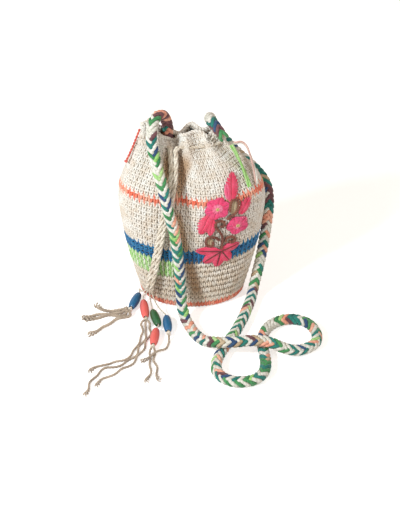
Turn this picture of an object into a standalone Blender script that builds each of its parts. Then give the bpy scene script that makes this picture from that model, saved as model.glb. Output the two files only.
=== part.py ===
"""A crocheted drawstring handbag, standing on its base: an oval bucket of crochet rounds, gathered at the
neck by a drawstring whose ends carry wooden beads, with a long braided strap and a floral applique.

Lengths are in millimetres until a mesh or a curve is made. The origin is the middle of the base, +Z is up,
-Y is the front with the applique, and -X is the side where the strap comes down the front.
"""

import math

import bmesh
import bpy
from mathutils import Vector

MM = 0.001
GAP = 0.3  # between pieces that touch

# The crocheted bucket: half width (X), half depth (Y) and height of each level of its outer face
BASE_HALF_WIDTH = 60.0
BASE_HALF_DEPTH = 41.0
FOOT_HALF_WIDTH = 68.5
FOOT_HALF_DEPTH = 46.0
FOOT_HEIGHT = 9.0
BELLY_HALF_WIDTH = 93.5
BELLY_HALF_DEPTH = 47.0
BELLY_HEIGHT = 145.0
NECK_HALF_WIDTH = 55.0
NECK_HALF_DEPTH = 25.0
RIM_HALF_WIDTH = 49.0
RIM_HALF_DEPTH = 18.0
RIM_HEIGHT = 246.0
NECK_BELOW_RIM = 18.0  # the drawstring's level below the rim
NECK_HEIGHT = RIM_HEIGHT - NECK_BELOW_RIM
RIM_LEFT_LIFT = 6.0  # the rim stands this much higher at the left
RIM_RIGHT_DIP = 12.0  # and this much lower at the right, under the strap
RIM_PINCH = 0.42  # share of its depth that the mouth loses in the middle, between the strap's ends
PINCH_X = -5.0
PINCH_HALF_WIDTH = 15.0
LEAN = 14.0  # the rim sits this far towards -X
LOWER_CURVE = 1.47  # how quickly the wall narrows from the belly to the foot
UPPER_CURVE = 2.0  # and from the belly to the neck
WALL = 4.0  # thickness of the crochet fabric
INNER_STEPS_BELOW_NECK = (0.0, 6.0, 23.0, 40.0, 56.0)  # levels of the inside, down from the neck
INNER_STEPS_BELOW_BELLY = (0.0, 50.0, 100.0, 127.0)  # and down from the belly
FLOOR_STEP = 20.5  # the inner and outer floors' rings lie this far in from the wall

# Crochet rounds, as ridges round the wall
ROUND_PITCH = 7.6
RIDGE_HEIGHT = 1.3
SIDES_PER_PLEAT = 5
OVAL_EVENING = 0.12  # spaces points evenly round the oval
FOOT_CURVE_LEVEL = 0.35  # share of the foot's height where its curve has one more ring
INNER_FOOT_STEP = 4.5  # how far the inner floor's edge lies in from the inner wall

# Pleats that the drawstring gathers at the neck
PLEATS = 9
PLEAT_DEPTH = 9.8
RIM_PLEAT_DEPTH = 4.0
PLEAT_LENGTH = 56.0  # the pleats begin this far below the neck
PLEAT_START = NECK_HEIGHT - PLEAT_LENGTH
VALLEY_ANGLE = math.radians(-103)  # the valley at the front where the drawstring comes out

# Cords
STRAP_DIAMETER = 15.0
DRAWSTRING_DIAMETER = 4.2
DRAWSTRING_INSET = 6.9  # from the outer face of a pleat's crest to the drawstring's middle
EYELET_CLEARANCE = 0.5
DRAWSTRING_MOUTH = math.radians(11)  # angle between the two places where it turns down the front
RING_STEPS = 50  # points of its way round the neck
END_STEPS = 18  # and of each hanging end
LEAD_DIAMETER = 2.4
STRAND_DIAMETER = 2.2
STRAND_SETTING = 0.33  # how far more than the usual gap a strand starts from its knot
TAIL_DIAMETER = 2.4

# Wooden beads and the knots below them
BEAD_LENGTH = 30.0
LONG_BEAD_LENGTH = 34.0
BEAD_DIAMETER = 11.5
BEAD_END_DIAMETER = 6.6
BEAD_BORE = 4.6
KNOT_DIAMETER = 6.4
KNOT_BULGE = 1.1  # its lobes stand out this far past its radius
TAIL_KNOT_DIAMETER = 4.4

# Applique
APPLIQUE_THICKNESS = 2.4
APPLIQUE_EDGE = 0.9
APPLIQUE_GAP = 0.45
SCROLL_DIAMETER = 3.0

# The strap's middle line, from its end inside the mouth to its end on the rim at the right
STRAP_ROUTE = [
    (-29.2, 6.6, 220.5), (-28.7, 4.2, 231), (-28.8, 3.6, 242), (-31, 3, 254),
    (-35, -3, 265), (-41, -12, 269), (-46, -22, 264),
    (-48, -29, 251), (-46, -36, 234), (-41, -45, 214), (-35, -53, 193), (-31, -58, 175), (-27, -59, 156),
    (-22, -58.5, 134), (-19, -58, 111), (-17, -58, 88), (-15, -59, 64), (-14, -61, 42), (-13, -66, 25),
    (-9, -76, 12), (-3, -90, 8), (5, -108, 9), (16, -127, 14), (30, -139, 22), (45, -143, 25),
    (60, -142, 25.2), (75, -140, 25.2), (90, -141, 25), (104, -143, 21), (118, -143, 14), (132, -139, 9),
    (146, -132, 7.8), (155, -122, 7.8), (157, -107, 7.8), (152, -91, 7.8), (141, -80, 7.8), (125, -76, 7.8),
    (109, -81, 7.8), (97, -92, 7.8), (90, -108, 7.8), (88, -126, 7.8), (90, -145, 7.8), (91, -164, 7.8),
    (87, -181, 7.8), (76, -193, 7.8), (60, -197, 7.8), (45, -194, 7.8), (34, -184, 7.8), (30, -169, 7.8),
    (33, -152, 7.8), (40, -134, 7.8), (49, -115, 7.8), (58, -94, 7.8), (66, -72, 7.8), (72, -51, 7.8),
    (77, -32, 8), (80, -20, 14), (84, -12, 30), (89, -5, 52), (93.5, 3, 78), (97, 11, 104),
    (98.5, 20, 125), (96, 29, 141), (89, 37, 152), (79, 44, 161), (68, 48, 170), (57, 49, 181),
    (46, 47, 195), (36, 43, 210), (29, 37, 225), (24, 29, 240), (22, 18, 249), (24, 8, 250),
    (29, 0, 247.6), (35, -8, 243), (40.5, -11.7, 236.8), (45.6, -12.9, 229.2),
]

# The drawstring's two ends, from where they come out at the front valley to where they split
LEFT_END_ROUTE = [
    (-25.9, -20.4, 225), (-25.4, -24.8, 217), (-24.6, -30.8, 207), (-25, -38.4, 194), (-27.9, -45.2, 177),
    (-32.5, -47.4, 158), (-37, -48.2, 138), (-41, -48, 116), (-45, -47.2, 94), (-50, -45.7, 68),
    (-54, -44.2, 48), (-57, -43, 33),
]
RIGHT_END_ROUTE = [
    (-19, -20.8, 225), (-19, -25.4, 217), (-19.2, -31.4, 207), (-20, -39, 194), (-22.8, -46, 177),
    (-27.4, -48.4, 158), (-32, -49.4, 138), (-36, -49.6, 116), (-40, -49.4, 94), (-45, -48.4, 68),
    (-49, -47, 48), (-52, -46, 33),
]

# Each bead's top and bottom end on its middle line, and its length
BEAD_HEIGHT = 6.2
BEADS = {
    "blue_bead_left": ((-69.5, -22, BEAD_HEIGHT), (-78.5, -50.6, BEAD_HEIGHT), BEAD_LENGTH),
    "coral_bead_left": ((-63, -37, BEAD_HEIGHT), (-59, -70.8, BEAD_HEIGHT), LONG_BEAD_LENGTH),
    "green_bead": ((-50.5, -57.5, BEAD_HEIGHT), (-42.2, -86.3, BEAD_HEIGHT), BEAD_LENGTH),
    "coral_bead_right": ((-45, -95, BEAD_HEIGHT), (-48, -125, BEAD_HEIGHT), BEAD_LENGTH),
    "blue_bead_right": ((-32.5, -69, BEAD_HEIGHT), (-29.5, -99, BEAD_HEIGHT), BEAD_LENGTH),
}

# The thin cords that the ends split into: which end and side they leave from, their way, and their beads
LEADS = {
    "lead_blue_left": ("left", -1, [(-64, -35, 21), (-67.3, -25, 15), (-69, -17.5, 11), (-69, -16.3, 7.4)],
                       ["blue_bead_left"]),
    "lead_coral_left": ("left", 1, [(-60.2, -40, 20), (-62.8, -33, 12.5), (-63.4, -31, 8)],
                        ["coral_bead_left"]),
    "lead_green": ("right", -1, [(-54, -47, 20), (-52.7, -49, 11), (-51.8, -52, 7.2)],
                   ["green_bead", "coral_bead_right"]),
    "lead_blue_right": ("right", 1, [(-48.5, -50, 19), (-42.5, -56, 10.5), (-36, -62, 7)],
                        ["blue_bead_right"]),
}

# Loose strands that fan out from the knot under a bead: the heading in degrees where each leaves its knot, and
# its way over the floor, with a height only where it lies over other strands
FLOOR = 1.4
STRANDS = {
    "strand_blue_1": ("blue_bead_left", 188, [(-92, -56.5), (-104, -57.5), (-120, -61), (-141, -66)]),
    "strand_blue_2": ("blue_bead_left", 228, [(-92, -62), (-104, -62), (-120, -65.5), (-136, -71)]),
    "strand_blue_3": ("blue_bead_left", 268, [
        (-87, -66), (-99, -71), (-109, -83), (-118, -92), (-131, -100)]),
    "strand_blue_4": ("blue_bead_left", 148, [(-91, -50), (-104, -51.5), (-117, -50.5), (-124, -39)]),
    "strand_coral_1": ("coral_bead_left", 227, [
        (-63.5, -86), (-62, -98), (-66, -114), (-73, -136), (-83, -149), (-100, -156), (-112, -160),
        (-119, -165.5), (-124.5, -172)]),
    "strand_coral_2": ("coral_bead_left", 267, [
        (-58.5, -87), (-57.5, -99), (-62, -116), (-69.5, -139), (-80, -154), (-95, -162), (-107, -167),
        (-115, -175.5), (-121, -190), (-128, -214)]),
    "strand_coral_3": ("coral_bead_left", 307, [
        (-53.5, -86.5), (-53, -99), (-57.5, -118), (-66, -143), (-76.5, -160), (-89, -171), (-99, -178.5),
        (-108, -187), (-116, -197)]),
    "strand_right_1": ("coral_bead_right", 245, [(-52, -140), (-51, -150), (-50, -164), (-53, -190)]),
    "strand_right_2": ("coral_bead_right", 290, [(-45.5, -139), (-46, -150), (-43, -166), (-39, -188)]),
    "strand_right_3": ("blue_bead_right", 275, [
        (-28.5, -117), (-32.5, -126, 2.2), (-38.5, -134.5, 4.4), (-45, -140.8, 5), (-51, -145.2, 4.8),
        (-56.5, -148.6, 3.6), (-62.5, -152)]),
}

# Yarn tails: one from the rim at the left, and two out of the strap's end at the right
CORAL_TAIL_ROUTE = [
    (-63, -4.8, 246.3), (-66.2, -6, 238), (-70, -7.5, 228), (-74.5, -9, 217.5), (-79.5, -10.5, 206.5),
]
LIME_TAIL_ROUTE = [
    (48.6, -15.6, 230), (50.2, -16.2, 227.4), (53.5, -16.6, 221), (57.5, -17, 212), (62, -18, 202),
    (67, -22.4, 190), (71.6, -27.4, 178),
]
PINK_TAIL_ROUTE = [
    (51.6, -12.5, 231.4), (54.4, -12.4, 231.2), (58.4, -12, 232.4), (62.5, -11.5, 231), (67, -11.5, 226),
    (70, -11.8, 219), (73.5, -12.8, 209), (76.3, -14.2, 199), (78.8, -16.6, 187), (80.3, -18.6, 176),
]

# The applique's outlines on the front, as (x, z) points from above
TOP_LEAF = [
    (51, 170), (46, 170.5), (42.3, 173.5), (40.2, 179), (40.2, 186), (41.5, 192), (44, 198), (46.5, 204),
    (49.5, 199), (52, 194), (56, 185), (57.5, 178), (58.3, 173.5), (56, 170.5),
]
LEFT_FLOWER = [
    (31, 170), (23, 167), (18.3, 161), (17.6, 154), (20.6, 147.5), (26, 142.6), (33, 141.8), (40, 143),
    (43.6, 149), (44.3, 157), (43.2, 165), (38, 169.3),
]
LEFT_LEAF = [
    (14, 146.5), (10.8, 142.5), (9.2, 136), (10, 127), (13.6, 121), (19, 118.6), (24, 120.2), (26.2, 127),
    (26.6, 134), (23.6, 139.5), (19, 143.3),
]
RIGHT_LEAF = [
    (72.5, 164), (66.5, 161.8), (62.6, 158), (60.6, 152.5), (59.2, 146.5), (61.5, 144.2), (68, 145.2),
    (71, 152), (72.6, 159),
]
RIGHT_FLOWER = [
    (43.8, 129.5), (46, 136.2), (51, 140.5), (57, 142), (65, 138), (68.5, 130), (67, 122), (62.5, 115.5),
    (56, 113.2), (49.5, 116.8), (45, 122),
]
FAN = [
    (4, 94), (12, 96.8), (20, 98), (27, 98), (32, 93.6), (36.4, 91.6), (40, 94.3), (45, 98), (51, 99),
    (58, 98.8), (56.3, 91.5), (53, 84), (48.5, 76.5), (42.5, 70.5), (35, 68.5), (28, 67.6), (21, 69.5),
    (15, 74), (12.2, 81), (9.4, 88),
]
SCROLLS = {
    "applique_upper_scroll": [
        (46.6, 151), (46.9, 158), (48.2, 164), (52, 166.4), (56, 164), (57.8, 157.5), (56.2, 151), (52.4, 146),
        (47.4, 142.2), (43.8, 139.8),
    ],
    "applique_stem": [
        (36.6, 95.6), (37, 99), (37.6, 105), (38, 111), (36.8, 117), (34, 122.6), (31, 127.4), (29.2, 132),
        (30.4, 136.6), (34.4, 138.4), (38.6, 137), (40.4, 133.2), (38.6, 129.6), (35.4, 130.2),
    ],
    "applique_left_curl": [
        (33.6, 109), (30, 113.2), (24.5, 114.8), (19.4, 113.4), (17.2, 108.6), (18.6, 103.4), (23, 101.4),
        (26.8, 103.4), (26, 107.2),
    ],
    "applique_right_curl": [
        (41.6, 105.6), (42.6, 110), (46.4, 112), (50.6, 111.4), (53.4, 108), (52.6, 104.2), (49, 103.2),
        (46.8, 105.6),
    ],
}

CREAM = (0.80, 0.76, 0.67)
CORAL = (0.87, 0.16, 0.09)
BLUE = (0.01, 0.15, 0.32)
GREEN = (0.04, 0.22, 0.05)
LIME = (0.33, 0.66, 0.20)
PINK = (0.85, 0.07, 0.19)
ROSE = (0.90, 0.16, 0.30)
BROWN = (0.22, 0.07, 0.03)
TWINE = (0.52, 0.45, 0.35)
BRAID = (0.20, 0.42, 0.33)
PALE_PINK = (0.80, 0.55, 0.50)


def clear_scene():
    for old in list(bpy.data.objects):
        bpy.data.objects.remove(old)


def material(name, colour, roughness=0.85):
    made = bpy.data.materials.get(name)
    if made is None:
        made = bpy.data.materials.new(name)
        made.use_nodes = True
        shader = made.node_tree.nodes["Principled BSDF"]
        shader.inputs["Base Color"].default_value = (*colour, 1.0)
        shader.inputs["Roughness"].default_value = roughness
        shader.inputs["Metallic"].default_value = 0.0
    return made


def add_mesh(name, points, faces, look):
    """A mesh object from points in millimetres and faces as lists of point numbers."""
    mesh = bpy.data.meshes.new(name)
    mesh.from_pydata([Vector(p) * MM for p in points], [], faces)
    shape = bmesh.new()
    shape.from_mesh(mesh)
    bmesh.ops.recalc_face_normals(shape, faces=shape.faces)
    shape.to_mesh(mesh)
    shape.free()
    mesh.materials.append(look)
    thing = bpy.data.objects.new(name, mesh)
    bpy.context.collection.objects.link(thing)
    return thing


def lofted(name, rings, look, start=None, end=None):
    """A closed body through rings of equal count, whose last ring joins the first where it has no end points."""
    count = len(rings[0])
    points = [p for ring in rings for p in ring]
    faces = []
    pairs = list(zip(range(len(rings) - 1), range(1, len(rings))))
    if start is None:
        pairs.append((len(rings) - 1, 0))
    for low, high in pairs:
        for i in range(count):
            j = (i + 1) % count
            faces.append([low * count + i, low * count + j, high * count + j, high * count + i])
    for tip, ring in ((start, 0), (end, len(rings) - 1)):
        if tip is not None:
            points.append(tip)
            for i in range(count):
                faces.append([len(points) - 1, ring * count + (i + 1) % count, ring * count + i])
    return add_mesh(name, points, faces, look)


def smooth_step(x):
    x = min(1.0, max(0.0, x))
    return x * x * (3 - 2 * x)


def half_sizes(z):
    """The oval's half width and half depth at a height of the outer face."""
    if z < FOOT_HEIGHT:
        share = math.sqrt(max(0.0, 1 - (1 - z / FOOT_HEIGHT) ** 2))
        return (
            BASE_HALF_WIDTH + (FOOT_HALF_WIDTH - BASE_HALF_WIDTH) * share,
            BASE_HALF_DEPTH + (FOOT_HALF_DEPTH - BASE_HALF_DEPTH) * share,
        )
    if z < BELLY_HEIGHT:
        share = ((BELLY_HEIGHT - z) / (BELLY_HEIGHT - FOOT_HEIGHT)) ** LOWER_CURVE
        return (
            BELLY_HALF_WIDTH + (FOOT_HALF_WIDTH - BELLY_HALF_WIDTH) * share,
            BELLY_HALF_DEPTH + (FOOT_HALF_DEPTH - BELLY_HALF_DEPTH) * share,
        )
    if z < NECK_HEIGHT:
        share = ((z - BELLY_HEIGHT) / (NECK_HEIGHT - BELLY_HEIGHT)) ** UPPER_CURVE
        return (
            BELLY_HALF_WIDTH + (NECK_HALF_WIDTH - BELLY_HALF_WIDTH) * share,
            BELLY_HALF_DEPTH + (NECK_HALF_DEPTH - BELLY_HALF_DEPTH) * share,
        )
    share = (z - NECK_HEIGHT) / (RIM_HEIGHT - NECK_HEIGHT)
    return (
        NECK_HALF_WIDTH + (RIM_HALF_WIDTH - NECK_HALF_WIDTH) * share,
        NECK_HALF_DEPTH + (RIM_HALF_DEPTH - NECK_HALF_DEPTH) * share,
    )


def evened(angle):
    """The angle's place round the oval, in radians of even spacing."""
    return angle - OVAL_EVENING * math.sin(2 * angle)


def pleat_depth(z):
    if z < NECK_HEIGHT:
        return PLEAT_DEPTH * smooth_step((z - PLEAT_START) / (NECK_HEIGHT - PLEAT_START))
    return PLEAT_DEPTH + (RIM_PLEAT_DEPTH - PLEAT_DEPTH) * (z - NECK_HEIGHT) / (RIM_HEIGHT - NECK_HEIGHT)


def pleat(angle, z):
    """How far the pleats pull the wall in: nothing at a crest, all of the depth at a valley."""
    wave = math.cos(PLEATS * (evened(angle) - evened(VALLEY_ANGLE)))
    return pleat_depth(z) * (1 + wave) / 2


def rise(angle, z):
    """The height that a level of the ruffle really has, higher at the left and lower at the right."""
    share = max(0.0, (z - NECK_HEIGHT) / (RIM_HEIGHT - NECK_HEIGHT))
    lift = RIM_LEFT_LIFT * max(0.0, -math.cos(angle)) ** 2 - RIM_RIGHT_DIP * max(0.0, math.cos(angle)) ** 4
    return z + lift * share


def lean(z):
    return -LEAN * (max(0.0, z - BELLY_HEIGHT) / (RIM_HEIGHT - BELLY_HEIGHT)) ** 2


def wall_normal(angle, z):
    wide, deep = half_sizes(z)
    return Vector((math.cos(angle) / wide, math.sin(angle) / deep, 0)).normalized()


def wall_point(angle, z, inset=0.0, pleated=True):
    """A point of the wall, inset this far below its outer face. A negative inset lies outside it."""
    wide, deep = half_sizes(z)
    depth = inset + (pleat(angle, z) if pleated else 0.0)
    point = Vector((wide * math.cos(angle) + lean(z), deep * math.sin(angle), rise(angle, z)))
    point -= wall_normal(angle, z) * depth
    share = max(0.0, (z - NECK_HEIGHT) / (RIM_HEIGHT - NECK_HEIGHT))
    point.y *= 1 - RIM_PINCH * share * math.exp(-((point.x - PINCH_X) / PINCH_HALF_WIDTH) ** 2)
    return point


def wall_ring(z, inset=0.0, height=None):
    count = PLEATS * SIDES_PER_PLEAT
    ring = []
    for i in range(count):
        even = evened(VALLEY_ANGLE) + math.tau * i / count
        angle = even + OVAL_EVENING * math.sin(2 * even)
        point = wall_point(angle, z, inset)
        if height is not None:
            point.z = height
        ring.append(point)
    return ring


def ridge_levels():
    """(height, inset) of the crochet rounds' peaks and grooves, from the foot to just under the rim."""
    rounds = round((RIM_HEIGHT - FOOT_HEIGHT) / ROUND_PITCH)
    step = (RIM_HEIGHT - FOOT_HEIGHT) / rounds
    levels = []
    for i in range(rounds):
        levels.append((FOOT_HEIGHT + i * step, RIDGE_HEIGHT))
        levels.append((FOOT_HEIGHT + (i + 0.5) * step, 0.0))
    return levels


def make_body():
    """The crocheted bucket: one fabric shell with an open, gathered mouth."""
    rings = [wall_ring(0.0, FLOOR_STEP), wall_ring(0.0), wall_ring(FOOT_HEIGHT * FOOT_CURVE_LEVEL)]
    rings += [wall_ring(z, inset) for z, inset in ridge_levels()]
    rings.append(wall_ring(RIM_HEIGHT, WALL / 2))
    inside_rim = RIM_HEIGHT - ROUND_PITCH / 2
    below_neck = [NECK_HEIGHT - step for step in INNER_STEPS_BELOW_NECK]
    below_belly = [BELLY_HEIGHT - step for step in INNER_STEPS_BELOW_BELLY]
    rings += [wall_ring(z, WALL) for z in (inside_rim, *below_neck, *below_belly)]
    rings.append(wall_ring(FOOT_HEIGHT, WALL + INNER_FOOT_STEP, WALL + GAP))
    rings.append(wall_ring(FOOT_HEIGHT, WALL + FLOOR_STEP, WALL))
    body = lofted("bag_body", rings, material("cream_crochet", CREAM), (0, 0, 0), (0, 0, WALL))
    cut_eyelets(body)
    return body


def cut_eyelets(body):
    """Cuts the channel that the drawstring is threaded through, in and out of each pleat."""
    line = drawstring_line()[END_STEPS - 3:3 - END_STEPS]
    bore = DRAWSTRING_DIAMETER + 2 * EYELET_CLEARANCE
    guide = add_tube("eyelet_cutter", line, bore, material("twine", TWINE))
    graph = bpy.context.evaluated_depsgraph_get()
    mesh = bpy.data.meshes.new_from_object(guide.evaluated_get(graph))
    bpy.data.objects.remove(guide)
    shape = bmesh.new()
    shape.from_mesh(mesh)
    bmesh.ops.remove_doubles(shape, verts=shape.verts, dist=0.01 * MM)
    bmesh.ops.recalc_face_normals(shape, faces=shape.faces)
    shape.to_mesh(mesh)
    shape.free()
    cutter = bpy.data.objects.new("eyelet_cutter", mesh)
    bpy.context.collection.objects.link(cutter)
    cutter.hide_render = True
    cutter.display_type = "WIRE"
    cut = body.modifiers.new("Eyelets", "BOOLEAN")
    cut.object = cutter
    cut.operation = "DIFFERENCE"
    cut.solver = "EXACT"


def resampled(points, count):
    """Evenly spaced points, one more than count, along a smooth curve through the route's own points."""
    points = [Vector(p) for p in points]
    ends = [2 * points[0] - points[1]] + points + [2 * points[-1] - points[-2]]
    fine = []
    for a, b, c, d in zip(ends, ends[1:], ends[2:], ends[3:]):
        for k in range(12):
            t = k / 12
            fine.append(0.5 * (2 * b + (c - a) * t + (2 * a - 5 * b + 4 * c - d) * t ** 2
                               + (3 * b - 3 * c + d - a) * t ** 3))
    fine.append(points[-1])
    lengths = [0.0]
    for a, b in zip(fine, fine[1:]):
        lengths.append(lengths[-1] + (b - a).length)
    line, k = [], 0
    for i in range(count + 1):
        at = lengths[-1] * i / count
        while k < len(fine) - 2 and lengths[k + 1] < at:
            k += 1
        share = (at - lengths[k]) / max(1e-9, lengths[k + 1] - lengths[k])
        line.append(fine[k].lerp(fine[k + 1], share))
    return line


def smooth_line(points, spacing):
    """Points about this far apart along a smooth curve through the route's own points."""
    points = [Vector(p) for p in points]
    length = sum((b - a).length for a, b in zip(points, points[1:]))
    return resampled(points, max(2, round(length / spacing)))


def add_tube(name, line, diameter, look, resolution=2):
    """A curve object of one open poly spline with a round bevel and filled caps."""
    curve = bpy.data.curves.new(name, "CURVE")
    curve.dimensions = "3D"
    curve.bevel_depth = diameter / 2 * MM
    curve.bevel_resolution = resolution
    curve.use_fill_caps = True
    spline = curve.splines.new("POLY")
    spline.points.add(len(line) - 1)
    for point, place in zip(spline.points, line):
        point.co = (*(Vector(place) * MM), 1.0)
    curve.materials.append(look)
    tube = bpy.data.objects.new(name, curve)
    bpy.context.collection.objects.link(tube)
    return tube


def add_cord(name, route, diameter, look, spacing=2.6):
    return add_tube(name, smooth_line(route, diameter * spacing), diameter, look)


def drawstring_line():
    """The drawstring's middle line: up its left end, once round the neck, and down its right end."""
    start = VALLEY_ANGLE - DRAWSTRING_MOUTH / 2
    turn = math.tau - DRAWSTRING_MOUTH
    ring = []
    for i in range(RING_STEPS + 1):
        ring.append(wall_point(start - turn * i / RING_STEPS, NECK_HEIGHT, DRAWSTRING_INSET, pleated=False))
    ends = []
    for corner, route in ((ring[0], LEFT_END_ROUTE), (ring[-1], RIGHT_END_ROUTE)):
        line = resampled([corner] + route, END_STEPS)
        ends.append(line[1:])
    return ends[0][::-1] + ring + ends[1]


def make_strap():
    look = material("braided_strap", BRAID)
    add_tube("strap", smooth_line(STRAP_ROUTE, STRAP_DIAMETER), STRAP_DIAMETER, look)


def make_drawstring():
    add_tube("drawstring", drawstring_line(), DRAWSTRING_DIAMETER, material("twine", TWINE))


def bead_axis(name):
    """(middle, direction) of a bead, from its end points."""
    top, bottom, _ = BEADS[name]
    return (Vector(top) + Vector(bottom)) / 2, (Vector(bottom) - Vector(top)).normalized()


def bead_end(name, side, beyond=0.0):
    """The middle of a bead's top end (side -1) or bottom end (side 1), and this far beyond it."""
    middle, direction = bead_axis(name)
    return middle + direction * side * (BEADS[name][2] / 2 + beyond)


def knot_centre(bead):
    return bead_end(bead, 1, GAP + KNOT_DIAMETER / 2)


def make_bead(name, colour):
    """A turned oval bead with a bore right through, on its lead."""
    middle, direction = bead_axis(name)
    half = BEADS[name][2] / 2
    profile = [(-half, BEAD_BORE / 2)]
    steps = 7
    for i in range(steps + 1):
        along = -1 + 2 * i / steps
        swell = math.sqrt(max(0.0, 1 - along ** 2))
        radius = BEAD_END_DIAMETER / 2 + (BEAD_DIAMETER - BEAD_END_DIAMETER) / 2 * swell
        profile.append((along * half, radius))
    profile.append((half, BEAD_BORE / 2))
    turn = direction.to_track_quat("Z", "Y")
    sides = 12
    rings = []
    for along, radius in profile:
        ring = []
        for i in range(sides):
            angle = math.tau * i / sides
            ring.append(turn @ Vector((radius * math.cos(angle), radius * math.sin(angle), along)))
        rings.append(ring)
    bead = lofted(name, rings, material(name + "_paint", colour, 0.45))
    bead.data.shade_smooth()
    bead.data.set_sharp_from_angle(angle=math.radians(40))
    bead.location = middle * MM
    return bead


def make_knot(name, centre, diameter, look):
    """An overhand knot as a slightly flattened ball with a waist."""
    radius = diameter / 2
    sides, steps = 10, 5
    rings = []
    for k in range(1, steps):
        up = math.pi * k / steps
        ring = []
        for i in range(sides):
            angle = math.tau * i / sides
            bulge = KNOT_BULGE - 0.1 + 0.1 * math.cos(3 * angle)
            ring.append(centre + Vector((
                radius * math.sin(up) * math.cos(angle) * bulge,
                radius * math.sin(up) * math.sin(angle) * bulge,
                0.9 * radius * math.cos(up),
            )))
        rings.append(ring)
    top, bottom = centre + Vector((0, 0, 0.9 * radius)), centre - Vector((0, 0, 0.9 * radius))
    return lofted(name, rings, look, top, bottom)


def lead_start(end, side):
    """The first two points of a lead, beside the other lead that leaves the same end of the drawstring."""
    line = drawstring_line()
    last, before = (line[0], line[1]) if end == "left" else (line[-1], line[-2])
    along = (last - before).normalized()
    across = along.cross(Vector((0, -1, 0))).normalized()
    if across.x < 0:
        across = -across
    beside = last + across * side * (LEAD_DIAMETER + 1.5 * GAP) / 2 + along * 1.5 * GAP
    return [beside, beside + along * 4]


def make_leads():
    for name, (end, side, way, beads) in LEADS.items():
        route = lead_start(end, side) + list(way)
        for bead in beads:
            middle, _ = bead_axis(bead)
            route += [bead_end(bead, -1, 2.5), bead_end(bead, -1, 0.5), middle, bead_end(bead, 1)]
        add_tube(name, smooth_line(route, LEAD_DIAMETER * 2.0), LEAD_DIAMETER, material("twine", TWINE))


def make_strands():
    for name, (bead, heading, points) in STRANDS.items():
        away = Vector((math.cos(math.radians(heading)), math.sin(math.radians(heading)), 0))
        centre = knot_centre(bead)
        start = centre + away * (KNOT_DIAMETER / 2 * KNOT_BULGE + GAP + STRAND_SETTING)
        beyond = start + away * 2
        dropped = start + away * 5
        route = [start, beyond, (dropped.x, dropped.y, centre.z - 3)]
        route += [point if len(point) == 3 else (*point, FLOOR) for point in points]
        add_cord(name, route, STRAND_DIAMETER, material("twine", TWINE), 3.0)


def make_beads():
    colours = {
        "blue_bead_left": BLUE, "coral_bead_left": CORAL, "green_bead": GREEN,
        "coral_bead_right": CORAL, "blue_bead_right": BLUE,
    }
    for name, colour in colours.items():
        make_bead(name, colour)
    for bead in ("blue_bead_left", "coral_bead_left", "coral_bead_right", "blue_bead_right"):
        make_knot("knot_" + bead, knot_centre(bead), KNOT_DIAMETER, material("twine", TWINE))


def make_tails():
    add_cord("coral_tail", CORAL_TAIL_ROUTE, TAIL_DIAMETER, material("coral_yarn", CORAL))
    add_cord("lime_tail", LIME_TAIL_ROUTE, TAIL_DIAMETER, material("lime_yarn", LIME))
    add_cord("pink_tail", PINK_TAIL_ROUTE, TAIL_DIAMETER, material("pale_pink_yarn", PALE_PINK))
    last, before = Vector(CORAL_TAIL_ROUTE[-1]), Vector(CORAL_TAIL_ROUTE[-2])
    centre = last + (last - before).normalized() * (TAIL_KNOT_DIAMETER / 2 + GAP)
    make_knot("coral_tail_knot", centre, TAIL_KNOT_DIAMETER, material("coral_yarn", CORAL))


def on_front(x, z, lift):
    """The point of the front, x millimetres from the middle plane and z up, lifted off the outer face."""
    wide, _ = half_sizes(z)
    angle = -math.acos(max(-1.0, min(1.0, (x - lean(z)) / wide)))
    return wall_point(angle, z, -lift)


def make_motif(name, outline, look, rings=3):
    """A padded piece of satin stitch on the front, whose rings shrink from the outline to its middle."""
    middle = (sum(x for x, _ in outline) / len(outline), sum(z for _, z in outline) / len(outline))
    under = []
    over = []
    for k in range(rings):
        share = 1 - k / rings
        ring = [(middle[0] + (x - middle[0]) * share, middle[1] + (z - middle[1]) * share) for x, z in outline]
        puff = APPLIQUE_EDGE + (APPLIQUE_THICKNESS - APPLIQUE_EDGE) * math.sqrt(1 - share ** 2)
        over.append([on_front(x, z, APPLIQUE_GAP + puff) for x, z in ring])
        under.append([on_front(x, z, APPLIQUE_GAP) for x, z in ring])
    start = on_front(*middle, APPLIQUE_GAP)
    end = on_front(*middle, APPLIQUE_GAP + APPLIQUE_THICKNESS)
    return lofted(name, under[::-1] + over, look, start, end)


def make_applique():
    """The floral applique: pink leaves, rose flowers and brown scrolls of thick thread."""
    pink = material("pink_satin", PINK, 0.5)
    rose = material("rose_satin", ROSE, 0.5)
    brown = material("brown_satin", BROWN, 0.6)
    make_motif("applique_top_leaf", TOP_LEAF, pink)
    make_motif("applique_left_flower", LEFT_FLOWER, rose)
    make_motif("applique_left_leaf", LEFT_LEAF, pink)
    make_motif("applique_right_leaf", RIGHT_LEAF, pink)
    make_motif("applique_right_flower", RIGHT_FLOWER, rose)
    make_motif("applique_fan", FAN, pink)
    for name, points in SCROLLS.items():
        line = [on_front(x, z, APPLIQUE_GAP + SCROLL_DIAMETER / 2) for x, z in points]
        add_tube(name, smooth_line(line, SCROLL_DIAMETER * 1.2), SCROLL_DIAMETER, brown, 1)


def main():
    clear_scene()
    make_body()
    make_drawstring()
    make_leads()
    make_beads()
    make_strands()
    make_strap()
    make_tails()
    make_applique()


main()
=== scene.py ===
"""The looks of the crocheted drawstring handbag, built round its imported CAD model.

Lengths are in millimetres until a mesh, a lamp or the camera is made. +Z is up and -Y is the front.
"""

import math

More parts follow.
